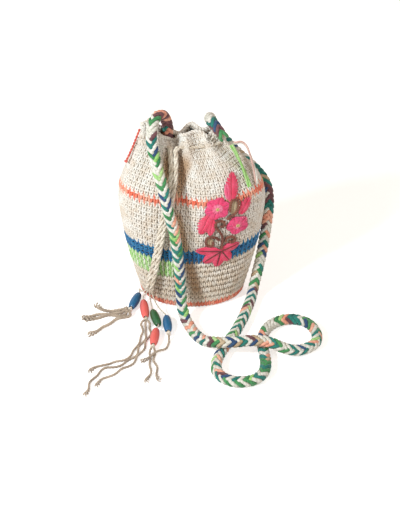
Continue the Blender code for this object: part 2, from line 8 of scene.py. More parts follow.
import bpy
import numpy as np
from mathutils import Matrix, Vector


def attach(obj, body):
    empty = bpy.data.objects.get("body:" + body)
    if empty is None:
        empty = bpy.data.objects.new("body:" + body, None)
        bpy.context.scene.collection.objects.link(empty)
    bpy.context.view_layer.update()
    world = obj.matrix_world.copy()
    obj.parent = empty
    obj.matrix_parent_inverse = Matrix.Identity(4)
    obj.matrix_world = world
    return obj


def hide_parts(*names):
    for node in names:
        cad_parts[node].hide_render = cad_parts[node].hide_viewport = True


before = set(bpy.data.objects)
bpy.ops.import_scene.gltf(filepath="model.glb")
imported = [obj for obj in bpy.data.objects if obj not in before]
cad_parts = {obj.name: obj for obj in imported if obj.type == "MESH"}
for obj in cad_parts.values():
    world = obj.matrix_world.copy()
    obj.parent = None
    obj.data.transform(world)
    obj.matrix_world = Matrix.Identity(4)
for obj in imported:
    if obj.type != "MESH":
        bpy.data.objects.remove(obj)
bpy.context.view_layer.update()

MM = 0.001
TURN = math.tau
BODY = "bag"
FORWARD = np.array((0.0, -1.0, 0.0))

# The camera that took the photograph, in millimetres
LENS = 98.12
SENSOR = 36.0
EYE = (10.4, -1456.2, 1113.1)
TARGET = (10.4, 0.0, 55.1)

# The crocheted bucket's form, as in the CAD source
BASE_HALF_WIDTH, BASE_HALF_DEPTH = 60.0, 41.0
FOOT_HALF_WIDTH, FOOT_HALF_DEPTH, FOOT_HEIGHT = 68.5, 46.0, 9.0
BELLY_HALF_WIDTH, BELLY_HALF_DEPTH, BELLY_HEIGHT = 93.5, 47.0, 145.0
NECK_HALF_WIDTH, NECK_HALF_DEPTH, NECK_HEIGHT = 55.0, 25.0, 228.0
RIM_HALF_WIDTH, RIM_HALF_DEPTH, RIM_HEIGHT = 49.0, 15.5, 246.0
RIM_LEFT_LIFT, RIM_RIGHT_DIP = 6.0, 12.0
# Where the mouth is drawn nearly shut: place, half width and share of the depth
RIM_PINCHES = ((-19.0, 8.5, 0.66), (13.0, 10.0, 0.5))
LEAN = 14.0
LOWER_CURVE, UPPER_CURVE = 1.47, 2.0
WALL = 4.0
OVAL_EVENING = 0.12
PLEATS, PLEAT_DEPTH, RIM_PLEAT_DEPTH, PLEAT_START = 9, 9.8, 8.0, 172.0
VALLEY_ANGLE = math.radians(-103)
# The rim's waves up and down: height, number round the rim and phase
RUFFLES = ((3.6, 5, 2.2), (2.2, 11, 0.4))
RIM_MIDDLE_DIP = 5.5
# A smoother part of the front: share lost, where, how wide and how far below the neck
FRONT_SMOOTHING, SMOOTH_ANGLE, SMOOTH_WIDTH, SMOOTH_BELOW = 0.7, -1.0, 0.42, 16.0
# The front valley's own, deeper fold, a little to the right of the valley between the pleats
FOLD_DEPTH, NECK_FOLD, FOLD_START, FOLD_FULL, FOLD_WIDTH = 13.0, 8.0, 100.0, 192.0, 0.14
FOLD_ANGLE = VALLEY_ANGLE + 0.07
NOTCH_DEPTH, NOTCH_WIDTH = 12.0, 0.13  # where the rim dips to the drawstring's mouth
# The fabric stands out round the drawstring at the left side
LEFT_BULGE, LEFT_BULGE_REACH, LEFT_BULGE_WIDTH = 5.5, 15.0, 0.4
LEFT_SMOOTHING = 0.75  # share of their depth that the pleats lose at the left side

# Crochet stitches: two legs each, in rounds that grow closer towards the neck
STITCHES = 68
LOW_PITCH, HIGH_PITCH = 8.6, 6.4
FIRST_ROUND = 5.0
ROUND_SHIFT = 0.07  # each round starts this share of a stitch further round
LEG_RINGS, LEG_SIDES = 5, 6
LEG_RADIUS = 1.75
LEG_INSET = 1.45
LINING_INSET = 2.5
# The dark lines low down are the painted gap shade showing between the rounds
LOOSE_BELOW = 78.0  # below this height the rounds lie further apart, with dark lines between them
# How near the drawstring a leg is moved aside for it, and how many points of each hanging end count
EYELET_REACH, EYELET_POINTS = 14.0, 16
LINING_COLUMNS, INNER_RINGS = 198, 46
RIM_POINTS, RIM_DIAMETER, RIM_TURNS = 900, 5.2, 34
ROUND_SAG = 6.0  # the rounds hang this much lower at the front and back than at the sides

# Coloured rounds by height, and the columns of lime stitches at the left of the front
CORAL_BAND = (162.5, 169.5)
BLUE_BAND = (80.0, 96.0)
LIME_BAND = (53.0, 77.0)
LIME_FROM, LIME_TO = math.radians(-215), math.radians(-98)
# Where dyed legs start and end, left and right, in rounds from their own: they reach into their neighbours
CORAL_REACH, BLUE_REACH, LIME_REACH = (
    ((-1.25, -0.6), (1.25, 0.55)), ((-0.9, -0.1), (1.25, 0.0)), ((-0.75, -0.7), (0.66, 0.6)))
# The plain crochet's three pieces meet at these heights
LOWER_TOP, MIDDLE_TOP = 88, 166

# Cords
DRAWSTRING_DIAMETER = 4.2
DRAWSTRING_INSET = 6.9
HANGING_DIAMETER = 6.4  # the hanging ends' yarns lie looser than in the neck
DRAWSTRING_MOUTH = math.radians(11)
RING_POINTS = 300
# Length of one turn of the plies: in the neck, the hanging ends, the leads, the strands and the red tail
RING_LAY, HANGING_LAY, LEAD_LAY, STRAND_LAY, TAIL_LAY = 11.0, 34.0, 7.0, 13.0, 9.0
LEAD_DIAMETER = 2.4
STRAND_DIAMETER = 2.2
STRAND_LOOK, BLUE_STRAND_LOOK = 3.3, 4.3  # the frayed strands' real, loose thickness
STRAND_WAVE, STRAND_SWAY, STRAND_FRAY = 31.0, 1.7, 16.0
TAIL_DIAMETER = 2.4
GAP = 0.3
KNOT_DIAMETER, KNOT_BULGE = 6.4, 1.1
TAIL_KNOT_DIAMETER = 4.4
FLOOR_HEIGHT = 1.4

STRAP_ROUTE = [
    (-29.2, 6.6, 220.5), (-28.7, 4.2, 231), (-28.8, 3.6, 242), (-31, 3, 254), (-35, -3, 265), (-41, -12, 269),
    (-46, -22, 264), (-48, -29, 251), (-46, -36, 234), (-41, -45, 214), (-35, -53, 193), (-31, -58, 175),
    (-27, -59, 156), (-22, -58.5, 134), (-19, -58, 111), (-17, -58, 88), (-15, -59, 64), (-14, -61, 42),
    (-13, -66, 25), (-9, -76, 12), (-3, -90, 8), (5, -108, 9), (16, -127, 14), (30, -139, 22), (45, -143, 25),
    (60, -142, 25.2), (75, -140, 25.2), (90, -141, 25), (104, -143, 21), (118, -143, 14), (132, -139, 9),
    (146, -132, 7.8), (155, -122, 7.8), (157, -107, 7.8), (152, -91, 7.8), (141, -80, 7.8), (125, -76, 7.8),
    (109, -81, 7.8), (97, -92, 7.8), (90, -108, 7.8), (88, -126, 7.8), (90, -145, 7.8), (91, -164, 7.8),
    (87, -181, 7.8), (76, -193, 7.8), (60, -197, 7.8), (45, -194, 7.8), (34, -184, 7.8), (30, -169, 7.8),
    (33, -152, 7.8), (40, -134, 7.8), (49, -115, 7.8), (58, -94, 7.8), (66, -72, 7.8), (72, -51, 7.8),
    (77, -32, 8), (80, -20, 14), (84, -12, 30), (89, -5, 52), (93.5, 3, 78), (97, 11, 104), (98.5, 20, 125),
    (96, 29, 141), (89, 37, 152), (79, 44, 161), (68, 48, 170), (57, 49, 181), (46, 47, 195), (36, 43, 210),
    (29, 37, 225), (24, 29, 240), (22, 18, 249), (24, 8, 250), (29, 0, 247.6), (35, -8, 243),
    (40.5, -11.7, 236.8), (45.6, -12.9, 229.2),
]
LEFT_END_ROUTE = [
    (-25.9, -20.4, 225), (-25.4, -24.8, 217), (-24.6, -30.8, 207), (-25, -38.4, 194), (-27.9, -45.2, 177),
    (-32.5, -47.4, 158), (-37, -48.2, 138), (-41, -48, 116), (-45, -47.2, 94), (-50, -45.7, 68),
    (-54, -44.2, 48), (-57, -43, 33),
]
RIGHT_END_ROUTE = [
    (-19, -20.8, 225), (-19, -25.4, 217), (-19.2, -31.4, 207), (-20, -39, 194), (-22.8, -46, 177),
    (-27.4, -48.4, 158), (-32, -49.4, 138), (-36, -49.6, 116), (-40, -49.4, 94), (-45, -48.4, 68),
    (-49, -47, 48), (-52, -46, 33),
]
BEAD_HEIGHT = 6.2
BEADS = {
    "blue_bead_left": ((-69.5, -22, BEAD_HEIGHT), (-78.5, -50.6, BEAD_HEIGHT), 30.0),
    "coral_bead_left": ((-63, -37, BEAD_HEIGHT), (-59, -70.8, BEAD_HEIGHT), 34.0),
    "green_bead": ((-50.5, -57.5, BEAD_HEIGHT), (-42.2, -86.3, BEAD_HEIGHT), 30.0),
    "coral_bead_right": ((-45, -95, BEAD_HEIGHT), (-48, -125, BEAD_HEIGHT), 30.0),
    "blue_bead_right": ((-32.5, -69, BEAD_HEIGHT), (-29.5, -99, BEAD_HEIGHT), 30.0),
}
BEAD_DIAMETER, BEAD_END_DIAMETER, BEAD_BORE, BEAD_SWELL = 11.5, 6.0, 4.6, 1.2
BEAD_RINGS, BEAD_SIDES = 22, 32
LEADS = {
    "lead_blue_left": ("left", -1, [(-64, -35, 21), (-67.3, -25, 15), (-69, -17.5, 11), (-69, -16.3, 7.4)],
                       ["blue_bead_left"]),
    "lead_coral_left": ("left", 1, [(-60.2, -40, 20), (-62.8, -33, 12.5), (-63.4, -31, 8)],
                        ["coral_bead_left"]),
    "lead_green": ("right", -1, [(-54, -47, 20), (-52.7, -49, 11), (-51.8, -52, 7.2)],
                   ["green_bead", "coral_bead_right"]),
    "lead_blue_right": ("right", 1, [(-48.5, -50, 19), (-42.5, -56, 10.5), (-36, -62, 7)],
                        ["blue_bead_right"]),
}
STRANDS = {
    "strand_blue_1": ("blue_bead_left", 188, [(-92, -56.5), (-104, -57.5), (-120, -61), (-141, -66)]),
    "strand_blue_2": ("blue_bead_left", 228, [(-92, -62), (-104, -62), (-120, -65.5), (-136, -71)]),
    "strand_blue_3": ("blue_bead_left", 268, [
        (-87, -66), (-99, -71), (-109, -83), (-118, -92), (-131, -100)]),
    "strand_blue_4": ("blue_bead_left", 148, [(-91, -50), (-104, -51.5), (-117, -50.5), (-124, -39)]),
    "strand_coral_1": ("coral_bead_left", 227, [
        (-63.5, -86), (-62, -98), (-66, -114), (-73, -136), (-83, -149), (-100, -156), (-112, -160),
        (-119, -165.5), (-124.5, -172)]),
    "strand_coral_2": ("coral_bead_left", 267, [
        (-58.5, -87), (-57.5, -99), (-62, -116), (-69.5, -139), (-80, -154), (-95, -162), (-107, -167),
        (-115, -175.5), (-121, -190), (-128, -214)]),
    "strand_coral_3": ("coral_bead_left", 307, [
        (-53.5, -86.5), (-53, -99), (-57.5, -118), (-66, -143), (-76.5, -160), (-89, -171), (-99, -178.5),
        (-108, -187), (-116, -197)]),
    "strand_right_1": ("coral_bead_right", 245, [(-52, -140), (-51, -150), (-50, -164), (-53, -190)]),
    "strand_right_2": ("coral_bead_right", 290, [(-45.5, -139), (-46, -150), (-43, -166), (-39, -188)]),
    "strand_right_3": ("blue_bead_right", 275, [
        (-28.5, -117), (-32.5, -126, 2.2), (-38.5, -134.5, 4.4), (-45, -140.8, 5), (-51, -145.2, 4.8),
        (-56.5, -148.6, 3.6), (-62.5, -152)]),
}
CORAL_TAIL_ROUTE = [
    (-63, -4.8, 246.3), (-66.2, -6, 238), (-70, -7.5, 228), (-74.5, -9, 217.5), (-79.5, -10.5, 206.5),
]
LIME_TAIL_ROUTE = [
    (48.6, -15.6, 230), (50.2, -16.2, 227.4), (53.5, -16.6, 221), (57.5, -17, 212), (62, -18, 202),
    (67, -22.4, 190), (71.6, -27.4, 178),
]
PINK_TAIL_ROUTE = [
    (51.6, -12.5, 231.4), (54.4, -12.4, 231.2), (58.4, -12, 232.4), (62.5, -11.5, 231), (67, -11.5, 226),
    (70, -11.8, 219), (73.5, -12.8, 209), (76.3, -14.2, 199), (78.8, -16.6, 187), (80.3, -18.6, 176),
]
# Tails of two loose yarns: route, how much thicker than the CAD's, length of one turn, yarns and slot
LOOSE_TAILS = {
    "lime_tail": (LIME_TAIL_ROUTE, 3.2, 120.0, ["lime_yarn_look", "pale_lime_yarn"], "lime_yarn"),
    "pink_tail": (PINK_TAIL_ROUTE, 2.2, 130.0, ["pale_pink_look", "white_yarn"], "pale_pink_yarn"),
}

# The strap's braid: how far apart its Vs are, how far their points lead, and where it lies in shadow, which is
# painted with darker yarns
BRAID_PITCH, BRAID_LEAD, BRAID_RINGS = 6.6, 9.5, 11
BRAID_HALF_WIDTH, BRAID_HALF_HEIGHT, BRAID_LEG_RADIUS, BRAID_CORE_RADIUS = 5.3, 4.6, 2.35, 4.0
BRAID_SHADE_START, BRAID_SHADE_END, BRAID_SHADE_X, BRAID_SHADE_Z = 56.0, 26.0, 86.0, 118.0
# Where along a V its legs are in step, how far round they wrap (degrees), how far in their ends go, and the
# share of Vs in one colour
BRAID_FOLD, BRAID_WRAP, BRAID_TUCK, BRAID_PAIRED = 0.6, 96, 0.14, 0.55
BRAID_YARNS = ["white_yarn", "teal_yarn", "lime_yarn_look", "salmon_yarn", "navy_yarn", "plum_yarn",
               "tan_thread", "green_yarn", "pale_lime_yarn"]
BRAID_TAN = 6
# Shares of these yarns among the light, the dyed and the dark legs, the dark ones being painted shade
BRAID_LIGHT_SHARES = (0.76, 0.03, 0.03, 0.05, 0.0, 0.01, 0.03, 0.04, 0.05)
BRAID_DYED_SHARES = (0.05, 0.33, 0.07, 0.10, 0.10, 0.06, 0.05, 0.23, 0.01)
BRAID_SHADE_SHARES = (0.10, 0.14, 0.0, 0.10, 0.22, 0.34, 0.04, 0.06, 0.0)

# Painted shadow: brown streaks down the front beside the strap and the drawstring's hanging end, where their
# shadows fall, in metres: x, z and half width at the top and at the bottom of each
PAINTED_SHADOWS = (
    ((-0.007, 0.220, 0.0100), (-0.018, 0.156, 0.0040)),
    ((-0.031, 0.222, 0.0050), (-0.030, 0.165, 0.0030)),
    ((-0.019, 0.150, 0.0060), (0.0075, 0.020, 0.0080)),
)
PAINTED_SHADOW_FADE = 0.010

# Colours, as they look in plain light
CREAM, LIME, LIME_PALE = (0.90, 0.895, 0.855), (0.27, 0.62, 0.14), (0.48, 0.72, 0.32)
ROSE, MAROON = (0.86, 0.035, 0.17), (0.17, 0.04, 0.022)
# Painted shade seen in the gaps between the stitches: dark, at the gaps' edges, and softer higher up
HOLE_SHADE, HOLE_EDGE_SHADE, SOFT_HOLE_SHADE = (0.17, 0.11, 0.06), (0.36, 0.26, 0.17), (0.62, 0.54, 0.44)
# The brown of the painted shadow streaks down the front, and the painted shade in the hollows inside the
# crochet
PAINTED_SHADOW_BROWN, INSIDE_SHADE = (0.52, 0.35, 0.215), (0.42, 0.32, 0.22)
BEAD_BLUE, BEAD_CORAL, BEAD_GREEN = (0.003, 0.12, 0.29), (0.82, 0.135, 0.12), (0.008, 0.105, 0.025)
BEAD_COLOURS = {
    "blue_bead_left": BEAD_BLUE, "coral_bead_left": BEAD_CORAL, "green_bead": BEAD_GREEN,
    "coral_bead_right": BEAD_CORAL, "blue_bead_right": BEAD_BLUE,
}
SATIN, DULL_SATIN = {"roughness": 0.5, "sheen": 0.4, "depth": 0.3}, {"roughness": 0.6}
# Each yarn's colour and second colour, and what sets it apart
YARNS = {
    # The cream's second colour is also its painted shade low down on the bag
    "cream_yarn_painted_shade": (CREAM, (0.76, 0.66, 0.54), {"twist": 0.9, "painted_shade": 0.55}),
    "coral_yarn_look": ((0.90, 0.17, 0.09), (0.93, 0.42, 0.30), {}),
    "coral_tail_yarn": ((0.66, 0.08, 0.065), (0.80, 0.18, 0.13), {}),
    "blue_yarn": ((0.003, 0.13, 0.34), (0.01, 0.20, 0.42), {}),
    "lime_yarn_look": (LIME, LIME_PALE, {}),
    "faded_lime_yarn": ((0.55, 0.80, 0.38), CREAM, {}),
    "pale_lime_yarn": (LIME_PALE, LIME, {}),
    "frayed_twine": ((0.62, 0.51, 0.40), (0.42, 0.33, 0.25), {"twist": 0.7, "depth": 0.8}),
    "twine_look": ((0.88, 0.83, 0.73), (0.70, 0.61, 0.49), {"twist": 0.7, "depth": 0.7}),
    "teal_yarn": ((0.006, 0.165, 0.14), (0.02, 0.25, 0.20), {}),
    "white_yarn": ((0.85, 0.85, 0.79), (0.70, 0.70, 0.62), {}),
    "salmon_yarn": ((0.88, 0.36, 0.24), (0.90, 0.52, 0.38), {}),
    "green_yarn": ((0.03, 0.22, 0.07), (0.08, 0.34, 0.12), {}),
    "navy_yarn": ((0.012, 0.05, 0.16), (0.03, 0.09, 0.20), {}),
    "plum_yarn": ((0.13, 0.05, 0.06), (0.22, 0.09, 0.10), {}),
    "pale_pink_look": ((0.84, 0.60, 0.54), (0.72, 0.46, 0.40), {}),
    "crimson_thread": ((0.80, 0.022, 0.10), (0.88, 0.09, 0.20), SATIN),
    "rose_thread": (ROSE, (0.92, 0.075, 0.26), SATIN),
    "light_rose_thread": ((0.95, 0.25, 0.42), ROSE, SATIN),
    "dark_crimson_thread": ((0.16, 0.004, 0.02), MAROON, DULL_SATIN),
    "maroon_thread": (MAROON, (0.28, 0.09, 0.045), DULL_SATIN),
    "tan_thread": ((0.46, 0.33, 0.20), (0.58, 0.46, 0.30), DULL_SATIN),
    "centre_thread": ((0.70, 0.62, 0.22), (0.86, 0.82, 0.50), DULL_SATIN),
}
looks = {}  # the materials by name

# The studio: light from all round, the floor, and two lamps as place, size, power and colour
WORLD_LEVEL, WORLD_TINT, PLAIN_WHITE = 0.42, (1.0, 0.79, 0.62), (1.0, 1.0, 1.0)
FLOOR_HALF, FLOOR_GREY, FLOOR_GLOW = 6.0, (0.88, 0.88, 0.88), 0.6
LAMP_TARGET = (0, 0, 90)
LAMPS = {
    "key": ((-900, -830, 1000), 220, 18.8, (0.93, 0.98, 1.0)),
    "fill": ((900, -800, 800), 900, 4.6, (0.96, 0.98, 1.0)),
}


def feed(tree, made, inputs):
    """Sets a node's inputs, given as (name or number, value or socket) pairs."""
    for key, value in inputs:
        if isinstance(value, bpy.types.NodeSocket):
            tree.links.new(value, made.inputs[key])
        else:
            made.inputs[key].default_value = value


def node(tree, kind, inputs=(), **settings):
    """A shader node with its settings and inputs."""
    made = tree.nodes.new(kind)
    for key, value in settings.items():
        setattr(made, key, value)
    feed(tree, made, inputs)
    return made


def maths(tree, operation, *values, clamp=False):
    """The output of a math node on values or sockets."""
    return node(tree, "ShaderNodeMath", enumerate(values), operation=operation, use_clamp=clamp).outputs[0]


def ranged(tree, value, low, high, to_low=0.0, to_high=1.0):
    """A value's place between low and high, as a number between to_low and to_high."""
    return node(tree, "ShaderNodeMapRange", [
        ("Value", value), ("From Min", low), ("From Max", high),
        ("To Min", to_low), ("To Max", to_high)]).outputs[0]


def noise(tree, scale, detail):
    """Noise over the object's own coordinates, 0 to 1."""
    place = node(tree, "ShaderNodeTexCoord").outputs["Object"]
    return node(tree, "ShaderNodeTexNoise", [
        ("Vector", place), ("Scale", scale), ("Detail", detail)]).outputs["Fac"]


def split(tree, vector):
    """The x, y and z of a vector."""
    return tuple(node(tree, "ShaderNodeSeparateXYZ", [(0, vector)]).outputs)


def object_place(tree):
    """(x, y, z) in the object's own coordinates, in metres."""
    return split(tree, node(tree, "ShaderNodeTexCoord").outputs["Object"])


def yarn_place(tree):
    """(turns round the yarn, diameters along it)."""
    return split(tree, node(tree, "ShaderNodeUVMap", uv_map="yarn").outputs[0])[:2]


def rgba(colour):
    """A colour with full opacity, or a socket as it is."""
    return (*colour, 1.0) if isinstance(colour, tuple) else colour


def blend(tree, share, first, second):
    """One colour that turns into another, each a tuple or a socket."""
    return node(tree, "ShaderNodeMix", [
        (0, share), (6, rgba(first)), (7, rgba(second))], data_type="RGBA").outputs[2]


def bump(tree, height, strength, distance):
    return node(tree, "ShaderNodeBump", [
        ("Height", height), ("Strength", strength), ("Distance", distance)]).outputs[0]


def bare_material(name):
    """(material, its node tree, its shader)."""
    made = bpy.data.materials.new(name)
    made.use_nodes = True
    return made, made.node_tree, made.node_tree.nodes["Principled BSDF"]


def painted_shadow_share(tree):
    """How much painted shadow the crochet gets: 1 along the middle of the front's brown streaks, falling to 0
    beside them.
    """
    x, y, z = object_place(tree)
    total = 0.0
    for (top_x, top_z, top_width), (low_x, low_z, low_width) in PAINTED_SHADOWS:
        middle = ranged(tree, z, low_z, top_z, low_x, top_x)
        width = ranged(tree, z, low_z, top_z, low_width, top_width)
        away = maths(tree, "DIVIDE", maths(tree, "SUBTRACT", x, middle), width)
        share = ranged(tree, maths(tree, "MULTIPLY", away, away), 0.1, 1.3, 1.0, 0.0)
        for factor in (ranged(tree, z, low_z - PAINTED_SHADOW_FADE, low_z + PAINTED_SHADOW_FADE),
                       ranged(tree, z, top_z + PAINTED_SHADOW_FADE, top_z - PAINTED_SHADOW_FADE),
                       ranged(tree, y, -0.005, -0.015)):
            share = maths(tree, "MULTIPLY", share, factor)
        total = maths(tree, "MAXIMUM", share, total)
    return total


def yarn_material(name, colour, other, twist=1.0, roughness=0.86, sheen=0.25, depth=0.5, painted_shade=0.0):
    """Plied cotton: diagonal plies round the yarn from its UV map, with painted shade in their grooves, fine
    fibres, and uneven colour; where it is asked for, also painted shade low down and painted shadow streaks
    down the front.
    """
    made, tree, shader = bare_material(name)
    round_it, along_it = yarn_place(tree)
    turns = maths(tree, "MULTIPLY", round_it, 2.0)
    phase = maths(tree, "ADD", turns, maths(tree, "MULTIPLY", along_it, twist))
    wave = maths(tree, "SINE", maths(tree, "MULTIPLY", phase, TURN))
    fibres = noise(tree, 2600.0, 2.0)
    amount = ranged(tree, noise(tree, 95.0, 3.0), 0.36, 0.66)
    if painted_shade:
        # Painted shade: the colour turns towards the second colour low down on the bag, where less light falls
        low = ranged(tree, object_place(tree)[2], 0.02, 0.16, painted_shade, 0.0)
        amount = maths(tree, "MULTIPLY_ADD", amount, 0.7, low, clamp=True)
    mixed = blend(tree, amount, colour, other)
    # Painted shadow: brown streaks down the front where the strap and the hanging ends cast their shadows
    if painted_shade:
        mixed = blend(tree, painted_shadow_share(tree), mixed, PAINTED_SHADOW_BROWN)
    # Painted shade in the grooves between the plies, on top of their bump
    groove_shade = ranged(tree, wave, -1.0, 0.2, 0.82, 1.0)
    speck = ranged(tree, fibres, 0.3, 0.7, 0.86, 1.06)
    dark = maths(tree, "MULTIPLY", groove_shade, speck)
    shaded = node(tree, "ShaderNodeVectorMath", [(0, mixed), ("Scale", dark)], operation="SCALE").outputs[0]
    height = maths(tree, "MULTIPLY_ADD", wave, 0.35, fibres)
    feed(tree, shader, [("Base Color", shaded), ("Normal", bump(tree, height, depth, 0.0004)),
                        ("Roughness", roughness), ("Sheen Weight", sheen)])
    return made


def lining_material():
    """Painted shade seen in the gaps between the stitches, on the shell behind them: dark low down and softer
    higher up.
    """
    made, tree, shader = bare_material("painted_gap_shade")
    cells = noise(tree, 420.0, 4.0)
    mixed = blend(tree, ranged(tree, cells, 0.35, 0.7), HOLE_SHADE, HOLE_EDGE_SHADE)
    high = ranged(tree, object_place(tree)[2], 0.09, 0.15, -0.3, 0.35)
    soft = maths(tree, "MULTIPLY_ADD", noise(tree, 24.0, 1.0), 1.0, high, clamp=True)
    feed(tree, shader, [("Base Color", blend(tree, soft, mixed, SOFT_HOLE_SHADE)),
                        ("Normal", bump(tree, cells, 0.6, 0.0006)), ("Roughness", 0.95)])
    return made


def inside_material():
    """The crochet seen from inside: rows of small ridges, with painted shade in the hollows between them."""
    made, tree, shader = bare_material("crochet_inside")
    waves = [maths(tree, "SINE", maths(tree, "MULTIPLY", place, TURN)) for place in yarn_place(tree)]
    height = maths(tree, "MULTIPLY_ADD", noise(tree, 700.0, 3.0), 0.8, maths(tree, "ADD", *waves))
    colour = blend(tree, ranged(tree, height, -1.2, 1.8), INSIDE_SHADE, CREAM)
    feed(tree, shader, [("Base Color", colour), ("Normal", bump(tree, height, 0.9, 0.0011)),
                        ("Roughness", 0.9)])
    return made


def paint_material(name, colour):
    """Gloss paint on turned wood: faint grain under it, brush-thin spots and small scuffs."""
    made, tree, shader = bare_material(name)
    grain = noise(tree, 420.0, 5.0)
    thin = tuple(min(1.0, 0.85 * c + 0.05) for c in colour)
    feed(tree, shader, [("Base Color", blend(tree, ranged(tree, grain, 0.35, 0.75, 0.0, 0.35), colour, thin)),
                        ("Normal", bump(tree, grain, 0.25, 0.0003)),
                        ("Roughness", ranged(tree, grain, 0.3, 0.7, 0.28, 0.5)), ("Coat Weight", 0.3)])
    return made


def unit(vectors):
    return vectors / np.maximum(1e-9, np.linalg.norm(vectors, axis=-1, keepdims=True))


def smooth_step(x):
    x = np.clip(x, 0.0, 1.0)
    return x * x * (3 - 2 * x)


def half_sizes(z):
    """The oval's half width and half depth at heights of the outer face."""
    foot = np.sqrt(np.clip(1 - (1 - z / FOOT_HEIGHT) ** 2, 0, 1))
    low = np.clip((BELLY_HEIGHT - z) / (BELLY_HEIGHT - FOOT_HEIGHT), 0, 1) ** LOWER_CURVE
    high = np.clip((z - BELLY_HEIGHT) / (NECK_HEIGHT - BELLY_HEIGHT), 0, 1) ** UPPER_CURVE
    top = (z - NECK_HEIGHT) / (RIM_HEIGHT - NECK_HEIGHT)
    sizes = []
    for base, foot_size, belly, neck, rim in (
        (BASE_HALF_WIDTH, FOOT_HALF_WIDTH, BELLY_HALF_WIDTH, NECK_HALF_WIDTH, RIM_HALF_WIDTH),
        (BASE_HALF_DEPTH, FOOT_HALF_DEPTH, BELLY_HALF_DEPTH, NECK_HALF_DEPTH, RIM_HALF_DEPTH),
    ):
        size = np.where(z < FOOT_HEIGHT, base + (foot_size - base) * foot, belly + (foot_size - belly) * low)
        size = np.where(z > BELLY_HEIGHT, belly + (neck - belly) * high, size)
        sizes.append(np.where(z > NECK_HEIGHT, neck + (rim - neck) * top, size))
    return sizes


def evened(angle):
    """The place round the oval in even spacing, roughly, at its own angle."""
    return angle - OVAL_EVENING * np.sin(2 * angle)


def oval_angle(even):
    """The oval's own angle at a place round it in even spacing."""
    return even + OVAL_EVENING * np.sin(2 * even)


def neck_share(z):
    """0 up to the drawstring's level, and 1 at the rim."""
    return np.maximum(0.0, (z - NECK_HEIGHT) / (RIM_HEIGHT - NECK_HEIGHT))


def beside(angle, middle, width):
    """1 at an angle, falling to 0 on both sides of it within about twice this width."""
    return np.exp((np.cos(angle - middle) - 1) / width ** 2)


def pleat(angle, z):
    """How far the pleats pull the wall in."""
    below = PLEAT_DEPTH * smooth_step((z - PLEAT_START) / (NECK_HEIGHT - PLEAT_START))
    depth = np.where(z < NECK_HEIGHT, below, PLEAT_DEPTH + (RIM_PLEAT_DEPTH - PLEAT_DEPTH) * neck_share(z))
    depth = depth * (1 - LEFT_SMOOTHING * (1 - neck_share(z)) * np.maximum(0, -np.cos(angle)) ** 6)
    below_neck = smooth_step((NECK_HEIGHT - z) / SMOOTH_BELOW)
    depth = depth * (1 - FRONT_SMOOTHING * below_neck * beside(angle, SMOOTH_ANGLE, SMOOTH_WIDTH))
    fold = smooth_step((z - FOLD_START) / (FOLD_FULL - FOLD_START)) * beside(angle, FOLD_ANGLE, FOLD_WIDTH)
    shallower = smooth_step((z - FOLD_FULL) / (NECK_HEIGHT - FOLD_FULL))
    fold = fold * (FOLD_DEPTH - (FOLD_DEPTH - NECK_FOLD) * shallower)
    return depth * (1 + np.cos(PLEATS * (evened(angle) - evened(VALLEY_ANGLE)))) / 2 + fold


def lean(z):
    """How far the bag leans over to the left at a height."""
    return -LEAN * (np.maximum(0.0, z - BELLY_HEIGHT) / (RIM_HEIGHT - BELLY_HEIGHT)) ** 2


def wall(angle, z, inset=0.0, pleated=True):
    """Points of the wall at these angles and heights, this far below its outer face."""
    angle, z = np.broadcast_arrays(np.asarray(angle, float), np.asarray(z, float))
    wide, deep = half_sizes(z)
    cosine, sine = np.cos(angle), np.sin(angle)
    normal = unit(np.stack([cosine / wide, sine / deep], -1))
    depth = inset + (pleat(angle, z) if pleated else 0.0)
    bulge = LEFT_BULGE * beside(angle, np.pi, LEFT_BULGE_WIDTH)
    depth = depth - bulge * np.exp(-((z - NECK_HEIGHT) / LEFT_BULGE_REACH) ** 2)
    lift = RIM_LEFT_LIFT * np.maximum(0, -cosine) ** 2 - RIM_RIGHT_DIP * np.maximum(0, cosine) ** 4
    for height, number, phase in RUFFLES:
        lift = lift + height * np.sin(number * angle + phase)
    lift = lift - NOTCH_DEPTH * beside(angle, FOLD_ANGLE, NOTCH_WIDTH) - RIM_MIDDLE_DIP * np.abs(sine) ** 4
    x = wide * cosine + lean(z) - normal[..., 0] * depth
    y = deep * sine - normal[..., 1] * depth
    for pinch_x, half_width, shut in RIM_PINCHES:
        y = y * (1 - shut * neck_share(z) * np.exp(-((x - pinch_x) / half_width) ** 2))
    return np.stack([x, y, z + lift * neck_share(z)], -1)


def wall_frame(angle, z, inset=0.0):
    """(points, outward normals) on the pleated wall, set in along the normals."""
    turn, rise = 0.004, 0.4
    here = wall(angle, z)
    round_it = wall(angle + turn, z) - wall(angle - turn, z)
    up_it = wall(angle, z + rise) - wall(angle, np.maximum(0.0, z - rise))
    normal = unit(np.cross(round_it, up_it))
    return here - normal * np.asarray(inset, float)[..., None], normal


def on_front(x, z, lift):
    """Points of the front, x from the middle plane and z up, lifted off the outer face."""
    x, z = np.asarray(x, float), np.asarray(z, float)
    wide, _ = half_sizes(z)
    return wall(-np.arccos(np.clip((x - lean(z)) / wide, -1, 1)), z, -np.asarray(lift, float))


